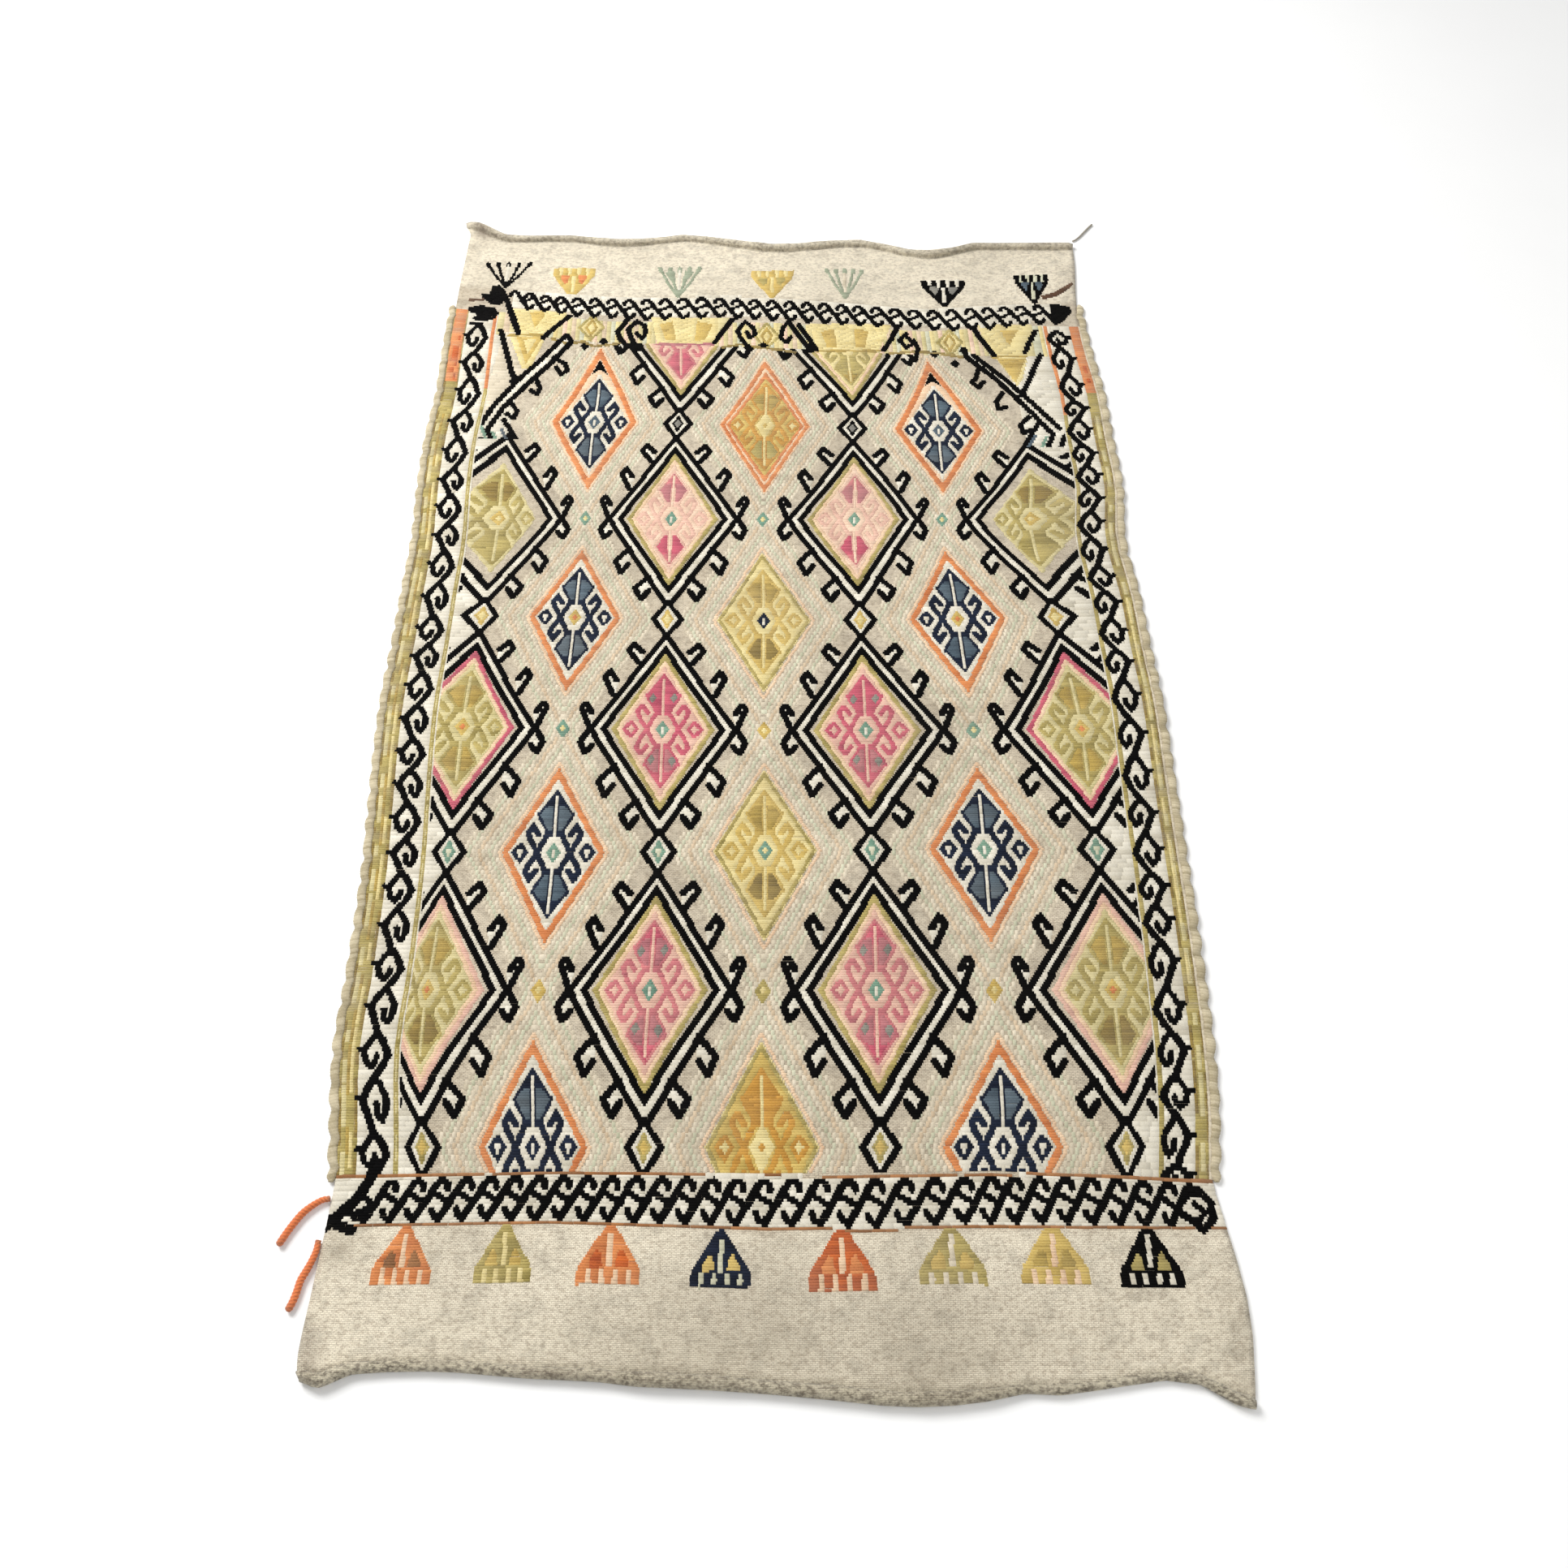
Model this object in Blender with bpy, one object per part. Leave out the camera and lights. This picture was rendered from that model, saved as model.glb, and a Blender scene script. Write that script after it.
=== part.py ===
"""Flat-woven kilim rug lying flat: the woven sheet with its rolled ends, the two overcast
side edges and the loose yarn ends at the corners.

Metres, +Z up. The origin is on the ground, in the middle of the rug's footprint, and +Y
points along the rug to its far end.
"""
import math
from collections import namedtuple

import bmesh
import bpy
from mathutils import Vector

# Driving dimensions --------------------------------------------------------------------
CLOTH = 0.003            # thickness of the woven sheet
EDGE_GAP = 0.0006        # clearance of an overcast edge, half of it left where the side bends
FOOTPRINT_MIDDLE = (-0.00187, 0.0097)    # the tables' middle to the footprint's middle

STRIPE_WIDTH = 0.018     # raised stripe woven along each side of the field
STRIPE_RISE = 0.0012
FIELD_BOTTOM = -0.600    # the field, between the two plain end flaps
FIELD_TOP = 0.655
NEAR_PLAIN_END = -0.745  # where each flap's plain cloth gives way to its rolled end
FAR_PLAIN_END = 0.740
NEAR_END = -0.771        # about where each rolled end lies along the rug
FAR_END = 0.795
ROLL_BLEND = 0.016       # length in which the sheet climbs onto a rolled end
BLEND_SHARES = (1.0, 0.66, 0.33)   # rows of that climb, as shares of its length

OVERCAST_WIDTH = 0.0092  # plump overcast side edge, across
OVERCAST_HEIGHT = 0.0054
LOBE_PITCH = 0.029       # its pulled-in stitches make soft lobes
LOBE_DEPTH = 0.10        # share of the width lost between lobes

COLUMNS_ACROSS = 26      # faces across the sheet, between its side stripes
ROWS_IN_FIELD = 36
ROWS_IN_FLAP = 4
ROLL_STEPS = 4           # faces round each quarter of a rolled end
LOBE_STEPS = 2           # points in each lobe of the overcast edge
TUBE_FACETS = 2          # roundness of the overcast edges and the loose yarns
CURVE_STEPS = 12         # steps between two of a loose yarn's own points
LEAST_STEPS = 3          # faces along the shortest yarn
TOUCH = 0.000001         # rows closer than this count as the same

# The woven sheet's two sides, measured from the middle of the pattern.
Side = namedtuple("Side", "y left right")
SIDES = [
    Side(0.832, -0.455, 0.432), Side(0.795, -0.438, 0.430), Side(0.739, -0.445, 0.429),
    Side(0.654, -0.447, 0.423), Side(0.568, -0.448, 0.427), Side(0.482, -0.447, 0.436),
    Side(0.396, -0.452, 0.438), Side(0.311, -0.451, 0.441), Side(0.225, -0.447, 0.433),
    Side(0.139, -0.449, 0.441), Side(0.054, -0.450, 0.444), Side(-0.030, -0.452, 0.448),
    Side(-0.161, -0.446, 0.448), Side(-0.246, -0.441, 0.448), Side(-0.375, -0.439, 0.447),
    Side(-0.461, -0.440, 0.445), Side(-0.546, -0.430, 0.438), Side(-0.600, -0.424, 0.430),
    Side(-0.654, -0.427, 0.439), Side(-0.718, -0.431, 0.447), Side(-0.771, -0.433, 0.444),
    Side(-0.812, -0.420, 0.438),
]

# The two ends, and how high each rolled edge stands there.
End = namedtuple("End", "x near far near_roll far_roll")
ENDS = [
    End(-0.455, -0.768, 0.832, 0.012, 0.009), End(-0.436, -0.780, 0.829, 0.013, 0.015),
    End(-0.418, -0.792, 0.824, 0.014, 0.016), End(-0.400, -0.785, 0.806, 0.013, 0.012),
    End(-0.380, -0.779, 0.799, 0.011, 0.010), End(-0.300, -0.777, 0.800, 0.011, 0.010),
    End(-0.225, -0.783, 0.790, 0.012, 0.011), End(-0.160, -0.786, 0.796, 0.013, 0.010),
    End(-0.130, -0.790, 0.801, 0.014, 0.010), End(-0.065, -0.793, 0.790, 0.014, 0.011),
    End(0.000, -0.797, 0.779, 0.013, 0.012), End(0.065, -0.803, 0.785, 0.014, 0.011),
    End(0.125, -0.808, 0.789, 0.014, 0.010), End(0.193, -0.804, 0.768, 0.012, 0.011),
    End(0.225, -0.796, 0.765, 0.009, 0.012), End(0.257, -0.798, 0.772, 0.009, 0.011),
    End(0.320, -0.790, 0.793, 0.008, 0.010), End(0.355, -0.785, 0.787, 0.008, 0.011),
    End(0.386, -0.785, 0.792, 0.010, 0.015), End(0.418, -0.803, 0.797, 0.012, 0.016),
    End(0.448, -0.811, 0.798, 0.010, 0.013),
]

# Low puffs where the cloth doesn't lie quite down: middle, reach each way, height.
Puff = namedtuple("Puff", "x y across along height")
PUFFS = [
    Puff(-0.335, 0.600, 0.100, 0.075, 0.0035), Puff(0.030, 0.665, 0.190, 0.070, 0.0040),
    Puff(0.330, 0.610, 0.110, 0.080, 0.0045), Puff(-0.395, 0.300, 0.075, 0.130, 0.0030),
    Puff(0.405, 0.290, 0.070, 0.120, 0.0030), Puff(0.415, -0.010, 0.065, 0.150, 0.0040),
    Puff(-0.400, -0.090, 0.070, 0.110, 0.0025), Puff(0.395, -0.330, 0.085, 0.110, 0.0035),
    Puff(-0.370, -0.480, 0.090, 0.130, 0.0035), Puff(-0.190, -0.690, 0.150, 0.065, 0.0035),
    Puff(0.180, -0.690, 0.170, 0.070, 0.0045), Puff(0.340, -0.560, 0.100, 0.080, 0.0030),
]

# Loose yarn ends that lie on the ground: their own points, in plan, and thickness.
ORANGE_YARN = 0.0074
UPPER_END = [(-0.4265, -0.6165), (-0.4335, -0.6177), (-0.4415, -0.6225), (-0.4500, -0.6300),
             (-0.4565, -0.6390), (-0.4630, -0.6500), (-0.4690, -0.6620)]
LOWER_END = [(-0.4311, -0.6570), (-0.4318, -0.6665), (-0.4345, -0.6765), (-0.4383, -0.6860),
             (-0.4420, -0.6945), (-0.4440, -0.7055), (-0.4465, -0.7150), (-0.4500, -0.7230)]
CORNER_YARN = 0.003
CORNER_END = [(0.4312, 0.7925), (0.4350, 0.7948), (0.4392, 0.7988), (0.4440, 0.8045),
              (0.4488, 0.8110), (0.4540, 0.8180), (0.4590, 0.8245), (0.4640, 0.8305)]

Finish = namedtuple("Finish", "name color roughness")
WOVEN_WOOL = Finish("woven_wool", (0.72, 0.63, 0.49), 0.92)
OVERCAST_WOOL = Finish("overcast_wool", (0.66, 0.57, 0.42), 0.90)
ORANGE_WOOL = Finish("orange_wool", (0.60, 0.17, 0.05), 0.88)
GREY_WOOL = Finish("grey_wool", (0.35, 0.33, 0.30), 0.90)


# Helpers -------------------------------------------------------------------------------
def smooth_value(table, key, column, at):
    """Reads a column of a table at a place between its rows, on a smooth curve."""
    rows = sorted(table, key=lambda row: getattr(row, key))
    places = [getattr(row, key) for row in rows]
    values = [getattr(row, column) for row in rows]
    at = min(max(at, places[0]), places[-1])
    last = len(rows) - 2
    k = next((i for i in range(last) if at < places[i + 1]), last)

    def slope(i):
        """The curve's slope at a row, from the rows on either side of it."""
        low, high = max(i - 1, 0), min(i + 1, len(rows) - 1)
        return (values[high] - values[low]) / (places[high] - places[low])

    step = places[k + 1] - places[k]
    t = (at - places[k]) / step
    return ((2 * t**3 - 3 * t**2 + 1) * values[k] + (t**3 - 2 * t**2 + t) * step * slope(k)
            + (3 * t**2 - 2 * t**3) * values[k + 1] + (t**3 - t**2) * step * slope(k + 1))


def from_middle(x, y, z):
    """Moves a place from the tables' middle to the middle of the footprint."""
    return Vector((x - FOOTPRINT_MIDDLE[0], y - FOOTPRINT_MIDDLE[1], z))


def lift(x, y):
    """How far the cloth stands off the ground at a place."""
    height = 0.0
    for puff in PUFFS:
        reach = ((x - puff.x) / puff.across) ** 2 + ((y - puff.y) / puff.along) ** 2
        if reach < 1.0:
            height += puff.height * (1.0 - reach) ** 2
    return height


def dressed(finish):
    """The Principled material of a finish."""
    material = bpy.data.materials.new(finish.name)
    material.use_nodes = True
    shader = material.node_tree.nodes["Principled BSDF"]
    shader.inputs["Base Color"].default_value = (*finish.color, 1.0)
    shader.inputs["Roughness"].default_value = finish.roughness
    shader.inputs["Metallic"].default_value = 0.0
    material.diffuse_color = (*finish.color, 1.0)
    return material


def kept(name, data, finish, collection):
    """Puts a finished shape in the rug's collection under its own name."""
    piece = bpy.data.objects.new(name, data)
    piece.data.materials.append(dressed(finish))
    collection.objects.link(piece)
    return piece


# The woven sheet -----------------------------------------------------------------------
RollRow = namedtuple("RollRow", "blend turn")


def column_places():
    """Shares of the sheet's width at which its columns stand, close together at the sides."""
    width = SIDES[len(SIDES) // 2].right - SIDES[len(SIDES) // 2].left
    stripe = STRIPE_WIDTH / width
    inner = [stripe + (1 - 2 * stripe) * k / COLUMNS_ACROSS for k in range(COLUMNS_ACROSS + 1)]
    return [0.0, stripe / 2] + inner + [1 - stripe / 2, 1.0]


def plain_rows():
    """Places along the rug of the rows between its two rolled ends."""
    rows = [NEAR_PLAIN_END + (FIELD_BOTTOM - NEAR_PLAIN_END) * k / ROWS_IN_FLAP
            for k in range(ROWS_IN_FLAP)]
    rows += [FIELD_BOTTOM + (FIELD_TOP - FIELD_BOTTOM) * k / ROWS_IN_FIELD
             for k in range(ROWS_IN_FIELD)]
    rows += [FIELD_TOP + (FAR_PLAIN_END - FIELD_TOP) * k / (ROWS_IN_FLAP - 1)
             for k in range(ROWS_IN_FLAP)]
    return rows


def roll_rows():
    """The rows of a rolled end, from the plain cloth to the tip.

    A row with a blend lies on the climb onto the roll, at that share of the climb's length from
    the roll. A row with a turn lies on the roll's outer quarter, at that share of the quarter.
    """
    rows = [RollRow(share, None) for share in BLEND_SHARES]
    return rows + [RollRow(None, k / ROLL_STEPS) for k in range(ROLL_STEPS + 1)]


def roll_point(row, roll, upper):
    """One point of a rolled end's section: its distance inside the tip, and its height."""
    radius = roll / 2
    if row.turn is None:
        climb = (1 - row.blend) ** 2 * (1 + 2 * row.blend)
        height = CLOTH + (roll - CLOTH) * climb if upper else 0.0
        return radius + ROLL_BLEND * row.blend, height
    steps_left = 1 - row.turn if upper else 1 - row.turn * ROLL_STEPS / (ROLL_STEPS + 1)
    angle = math.pi / 2 * steps_left
    height = radius + radius * math.sin(angle) * (1 if upper else -1)
    return radius * (1 - math.cos(angle)), height


def sheet_place(across, y):
    """Plan position of a point of the sheet, by its share of the width and its place along."""
    left = smooth_value(SIDES, "y", "left", y)
    right = smooth_value(SIDES, "y", "right", y)
    return left + (right - left) * across


def stripe_rise(column, columns, y):
    """The raised side stripe's height on its middle column."""
    on_stripe = column in (1, len(columns) - 2)
    return STRIPE_RISE if on_stripe and FIELD_BOTTOM <= y <= FIELD_TOP else 0.0


def sheet_point(place, upper, columns, plain, rolls):
    """A vertex of the sheet's upper or lower face, for its column and row."""
    column, row = place
    across = columns[column]
    count = len(rolls)
    if count <= row < count + len(plain):
        y = plain[row - count]
        x = sheet_place(across, y)
        height = lift(x, y) + (CLOTH + stripe_rise(column, columns, y) if upper else 0.0)
        return from_middle(x, y, height)
    near = row < count
    tip_key, roll_key = ("near", "near_roll") if near else ("far", "far_roll")
    section = rolls[count - 1 - row] if near else rolls[row - count - len(plain)]
    x = sheet_place(across, NEAR_END if near else FAR_END)
    tip = smooth_value(ENDS, "x", tip_key, x)
    x = sheet_place(across, tip)
    inset, height = roll_point(section, smooth_value(ENDS, "x", roll_key, x), upper)
    y = tip + inset if near else tip - inset
    return from_middle(sheet_place(across, y), y, height)


def woven_sheet(collection):
    """The kilim's one woven piece: field, end flaps and the rolled edges at both ends."""
    columns = column_places()
    plain = plain_rows()
    rolls = roll_rows()
    across = len(columns) - 1
    along = len(plain) + 2 * len(rolls) - 1
    mesh = bmesh.new()
    bmesh.ops.create_grid(mesh, x_segments=across, y_segments=along, size=1.0)

    def grid_place(vertex):
        """The column and row of a vertex of the flat grid, which reaches from -1 to 1."""
        return round((vertex.co.x + 1) / 2 * across), round((vertex.co.y + 1) / 2 * along)

    lower = {vertex: grid_place(vertex) for vertex in mesh.verts}
    raised = bmesh.ops.extrude_face_region(mesh, geom=list(mesh.faces))
    upper = {item: grid_place(item) for item in raised["geom"]
             if isinstance(item, bmesh.types.BMVert)}
    for vertex, place in upper.items():
        vertex.co = sheet_point(place, True, columns, plain, rolls)
    for vertex, place in lower.items():
        vertex.co = sheet_point(place, False, columns, plain, rolls)
    bmesh.ops.recalc_face_normals(mesh, faces=list(mesh.faces))
    data = bpy.data.meshes.new("kilim_sheet")
    mesh.to_mesh(data)
    mesh.free()
    return kept("kilim_sheet", data, WOVEN_WOOL, collection)


# The overcast side edges ---------------------------------------------------------------
def side_line(y, side):
    """The sheet's own faceted side line: its plan position and lift, between two rows."""
    rows = [row for row in plain_rows() if FIELD_BOTTOM - TOUCH <= row <= FIELD_TOP + TOUCH]
    k = max(i for i in range(len(rows) - 1) if rows[i] <= y + TOUCH)
    share = (y - rows[k]) / (rows[k + 1] - rows[k])
    ends = [(sheet_place(side, row), row) for row in rows[k:k + 2]]
    x = ends[0][0] + (ends[1][0] - ends[0][0]) * share
    heights = [lift(*end) for end in ends]
    return x, heights[0] + (heights[1] - heights[0]) * share


def overcast_edge(name, side, collection):
    """One side's binding, a flattened tube of wrapped yarn laid against the sheet's edge."""
    outward = -1 if side == 0.0 else 1
    count = round((FIELD_TOP - FIELD_BOTTOM) / LOBE_PITCH) * LOBE_STEPS
    curve = bpy.data.curves.new(name, "CURVE")
    curve.dimensions = "3D"
    curve.bevel_depth = OVERCAST_WIDTH / 2
    curve.bevel_resolution = TUBE_FACETS
    curve.use_fill_caps = True
    spline = curve.splines.new("POLY")
    spline.points.add(count)
    flatten = OVERCAST_HEIGHT / OVERCAST_WIDTH
    for k, point in enumerate(spline.points):
        y = FIELD_BOTTOM + (FIELD_TOP - FIELD_BOTTOM) * k / count
        wave = math.cos(2 * math.pi * k / LOBE_STEPS)
        fullness = 1 - LOBE_DEPTH * (1 - wave) / 2
        radius = OVERCAST_WIDTH / 2 * fullness
        x, height = side_line(y, side)
        place = from_middle(x + outward * (radius + EDGE_GAP), y, height / flatten + radius)
        point.co = (*place, 1.0)
        point.radius = fullness
    edge = kept(name, curve, OVERCAST_WOOL, collection)
    edge.scale = (1.0, 1.0, flatten)
    return edge


# The loose yarn ends -------------------------------------------------------------------
def yarn_route(points, spacing):
    """Points at an even spacing on a smooth curve through a yarn's own points."""
    count = len(points)
    fine = []
    for k in range(count - 1):
        before, start = Vector(points[max(k - 1, 0)]), Vector(points[k])
        end, after = Vector(points[k + 1]), Vector(points[min(k + 2, count - 1)])
        for step in range(CURVE_STEPS):
            t = step / CURVE_STEPS
            fine.append(0.5 * (2 * start + (end - before) * t
                               + (2 * before - 5 * start + 4 * end - after) * t**2
                               + (3 * start - before - 3 * end + after) * t**3))
    fine.append(Vector(points[-1]))
    total = sum((b - a).length for a, b in zip(fine, fine[1:]))
    steps = max(round(total / spacing), LEAST_STEPS)
    route = [fine[0]]
    walked, wanted = 0.0, total / steps
    for a, b in zip(fine, fine[1:]):
        span = (b - a).length
        while len(route) < steps and walked + span >= wanted * len(route):
            route.append(a.lerp(b, (wanted * len(route) - walked) / span))
        walked += span
    return route + [fine[-1]]


def loose_yarn(name, points, thickness, finish, collection):
    """A loose end of yarn, a round tube lying on the ground."""
    curve = bpy.data.curves.new(name, "CURVE")
    curve.dimensions = "3D"
    curve.bevel_depth = thickness / 2
    curve.bevel_resolution = TUBE_FACETS
    curve.use_fill_caps = True
    route = yarn_route(points, 2 * thickness)
    spline = curve.splines.new("POLY")
    spline.points.add(len(route) - 1)
    for point, place in zip(spline.points, route):
        point.co = (*from_middle(place.x, place.y, thickness / 2), 1.0)
    return kept(name, curve, finish, collection)


# The rug -------------------------------------------------------------------------------
def main():
    """Builds the rug's pieces in an empty file."""
    for leftover in list(bpy.data.objects):
        bpy.data.objects.remove(leftover, do_unlink=True)
    collection = bpy.data.collections.new("kilim_rug")
    bpy.context.scene.collection.children.link(collection)
    woven_sheet(collection)
    overcast_edge("left_overcast_edge", 0.0, collection)
    overcast_edge("right_overcast_edge", 1.0, collection)
    loose_yarn("upper_yarn_end", UPPER_END, ORANGE_YARN, ORANGE_WOOL, collection)
    loose_yarn("lower_yarn_end", LOWER_END, ORANGE_YARN, ORANGE_WOOL, collection)
    loose_yarn("corner_yarn_end", CORNER_END, CORNER_YARN, GREY_WOOL, collection)


main()
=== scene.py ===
"""Looks of a flat-woven wool kilim rug that lies flat on a pale floor.

The woven ground cloth, the raised brocade of its pattern, the overcast sides and the loose
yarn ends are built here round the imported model. Places are metres in the row's frame, and
the weaver's chart is in millimetres, from the sheet's left edge and the lower border's line.
"""
from __future__ import annotations

import logging
import math
from dataclasses import dataclass, field
from enum import Enum, IntEnum
from itertools import product
from typing import NamedTuple, Sequence

import bpy
import numpy as np
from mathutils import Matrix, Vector
from mathutils.bvhtree import BVHTree

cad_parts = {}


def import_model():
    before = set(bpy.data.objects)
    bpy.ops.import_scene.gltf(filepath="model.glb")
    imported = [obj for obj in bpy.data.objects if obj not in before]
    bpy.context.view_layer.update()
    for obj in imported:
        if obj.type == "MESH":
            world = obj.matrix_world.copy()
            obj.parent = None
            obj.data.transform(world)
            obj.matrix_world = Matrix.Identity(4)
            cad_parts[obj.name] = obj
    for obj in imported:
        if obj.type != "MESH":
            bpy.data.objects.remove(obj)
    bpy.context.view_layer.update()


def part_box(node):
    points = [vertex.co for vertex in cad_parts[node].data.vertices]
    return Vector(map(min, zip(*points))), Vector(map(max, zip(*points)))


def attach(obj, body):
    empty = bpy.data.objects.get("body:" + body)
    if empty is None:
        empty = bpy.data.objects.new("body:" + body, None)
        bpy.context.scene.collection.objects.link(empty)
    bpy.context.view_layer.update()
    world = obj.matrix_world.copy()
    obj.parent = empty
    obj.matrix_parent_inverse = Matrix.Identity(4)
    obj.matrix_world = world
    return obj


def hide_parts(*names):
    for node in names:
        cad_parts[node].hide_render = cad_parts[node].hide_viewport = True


LOG = logging.getLogger("kilim")
MM = 0.001
BODY = "root"

Colour = tuple[int, int, int]
Place = tuple[float, float]
Box = tuple[float, float, float, float]
Window = tuple[slice, slice]
Points = Sequence[Place]
Array = np.ndarray
Piece = bpy.types.Object
Socket = bpy.types.NodeSocket
Diamond = tuple[float, float | Place]


class Dye(IntEnum):
    """The wools of the brocade. GROUND is the plain cloth itself."""
    GROUND, BLACK, WHITE, IVORY, SAND, CELADON, NAVY, SLATE, ORANGE, RUST, PEACH = range(11)
    PALE_PINK, PINK, ROSE, STRAW, YELLOW, MUSTARD, PISTACHIO, OLIVE, DARK_OLIVE = range(11, 20)
    GREEN, BROWN, GREY, DUSTY, BLUSH, SAGE, UMBER, GOLD = range(20, 28)


Dyed = tuple[tuple[Dye, tuple[Points, ...]], ...]


class Space(Enum):
    """What a brush measures in: the chart, the floor plan, or the chart across and plan along."""
    CHART = "chart"
    PLAN = "plan"
    SIDE = "side"


PAIRED = {Dye.WHITE, Dye.IVORY, Dye.SAND, Dye.CELADON}


def linear(colour: Colour) -> tuple[float, float, float, float]:
    """A screen colour, 0 to 255, as the linear colour that a shader takes."""
    shares = [c / 255 for c in colour]
    return (*[c / 12.92 if c <= 0.04045 else ((c + 0.055) / 1.055) ** 2.4 for c in shares], 1.0)


def smoothstep(low: float, high: float, value: Array) -> Array:
    """A smooth climb from 0 at the low value to 1 at the high one."""
    share = np.clip((np.asarray(value, float) - low) / (high - low), 0.0, 1.0)
    return share * share * (3 - 2 * share)


def moved(points: Points, x: float, y: float, across: float = 1, along: float = 1) -> list[Place]:
    """Points scaled across and along, then moved to a place."""
    return [(x + across * u, y + along * v) for u, v in points]


def read_grid(grid: Array, row: Array, column: Array, soft: bool) -> Array:
    """Reads a grid between its points. Beyond its ends it repeats.

    Args:
        grid: The grid's values.
        row: Places along its rows.
        column: Places along its columns.
        soft: Whether it rounds off at its points.

    Returns:
        A value for each place.
    """
    r, c = np.floor(row).astype(int), np.floor(column).astype(int)
    t, s = row - r, column - c
    if soft:
        t, s = smoothstep(0, 1, t), smoothstep(0, 1, s)
    rows, columns = grid.shape
    low, high = (grid[k % rows, c % columns] * (1 - s) + grid[k % rows, (c + 1) % columns] * s
                 for k in (r, r + 1))
    return low * (1 - t) + high * t


@dataclass
class Mottle:
    """Soft seeded unevenness over the plan: values from -1 to 1 that change over `patch` m."""
    patch: float
    seed: int
    size: int = 512
    start: float = 250.0

    def __post_init__(self) -> None:
        """Draws the values of the grid."""
        self.grid = np.random.default_rng(self.seed).uniform(-1, 1, (self.size, self.size))

    def at(self, x: Array, y: Array) -> Array:
        """The unevenness at places of the plan."""
        places = [np.asarray(place, float) / self.patch + self.start for place in (y, x)]
        return read_grid(self.grid, *places, soft=True)


# Finishes
class Bench:
    """Lays out the nodes of one material round its Principled shader."""

    def __init__(self, name: str) -> None:
        """Starts a material.

        Args:
            name: The material's name.
        """
        self.material = bpy.data.materials.new(name)
        self.material.use_nodes = True
        self.tree = self.material.node_tree
        self.shader = self.tree.nodes["Principled BSDF"]
        self.place = self.add("TexCoord").outputs["Object"]

    def feed(self, node: bpy.types.Node, inputs: dict) -> None:
        """Sets a node's inputs, and links those whose value is another node's output.

        Args:
            node: The node.
            inputs: Value or socket for each input, by name or number.
        """
        for key, value in inputs.items():
            if isinstance(value, Socket):
                self.tree.links.new(value, node.inputs[key])
            else:
                node.inputs[key].default_value = value

    def add(self, kind: str, inputs: dict | None = None, **settings: object) -> bpy.types.Node:
        """Adds a node.

        Args:
            kind: The node's type, without the words ShaderNode.
            inputs: Value or socket for each input, by name or number.
            settings: The node's own settings.

        Returns:
            The new node.
        """
        node = self.tree.nodes.new("ShaderNode" + kind)
        for key, value in settings.items():
            setattr(node, key, value)
        self.feed(node, inputs or {})
        return node

    def sum(self, value: object, factor: float, more: object = 0.0) -> Socket:
        """A value times a factor, and more added to it."""
        return self.add("Math", {0: value, 1: factor, 2: more},
                        operation="MULTIPLY_ADD").outputs[0]

    def clamp(self, value: object, low: float = 0.0, high: float = 1.0) -> Socket:
        """A value held between two limits."""
        return self.add("Clamp", {"Value": value, "Min": low, "Max": high}).outputs[0]

    def tone(self, red: object, green: object, blue: object) -> Socket:
        """A colour made of three values."""
        return self.add("CombineColor", {0: red, 1: green, 2: blue}).outputs[0]

    def mix(self, share: object, a: object, b: object, blend: str = "MIX") -> Socket:
        """A mix of two colours, with a share of the second."""
        return self.add("Mix", {0: share, 6: a, 7: b}, data_type="RGBA",
                        blend_type=blend).outputs[2]

    def scaled(self, place: object, scale: tuple[float, float, float]) -> Socket:
        """Coordinates stretched along their axes."""
        return self.add("Mapping", {"Vector": place, "Scale": scale}).outputs[0]

    def noise(self, scale: float, detail: float, place: object = None) -> Socket:
        """Soft noise from 0 to 1, of a scale and a number of finer layers."""
        inputs = {"Vector": place or self.place, "Scale": scale, "Detail": detail}
        return self.add("TexNoise", inputs | {"Roughness": 0.6}).outputs[0]

    def bump(self, strength: float, reach: float, **inputs: object) -> Socket:
        """The normal of a bumpy surface."""
        return self.add("Bump", {"Strength": strength, "Distance": reach} | inputs).outputs[0]

    def attribute(self, name: str) -> Socket:
        """The socket of a mesh's own value."""
        return self.add("Attribute", attribute_name=name).outputs["Fac"]

    def wool(self, colour: object, normal: object, roughness: float, shine: float, sheen: float,
             sheen_roughness: float) -> bpy.types.Material:
        """Sets the shader to matt wool, and hands out the finished material.

        Args:
            colour: Its colour.
            normal: Its bumpy surface's normal.
            roughness: How matt it is.
            shine: The strength of its reflections.
            sheen: The weight of its fuzz.
            sheen_roughness: How soft the fuzz is.

        Returns:
            The material.
        """
        self.feed(self.shader, {"Base Color": colour, "Normal": normal, "Roughness": roughness,
                                "Specular IOR Level": shine, "Sheen Weight": sheen,
                                "Sheen Roughness": sheen_roughness})
        return self.material


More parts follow.
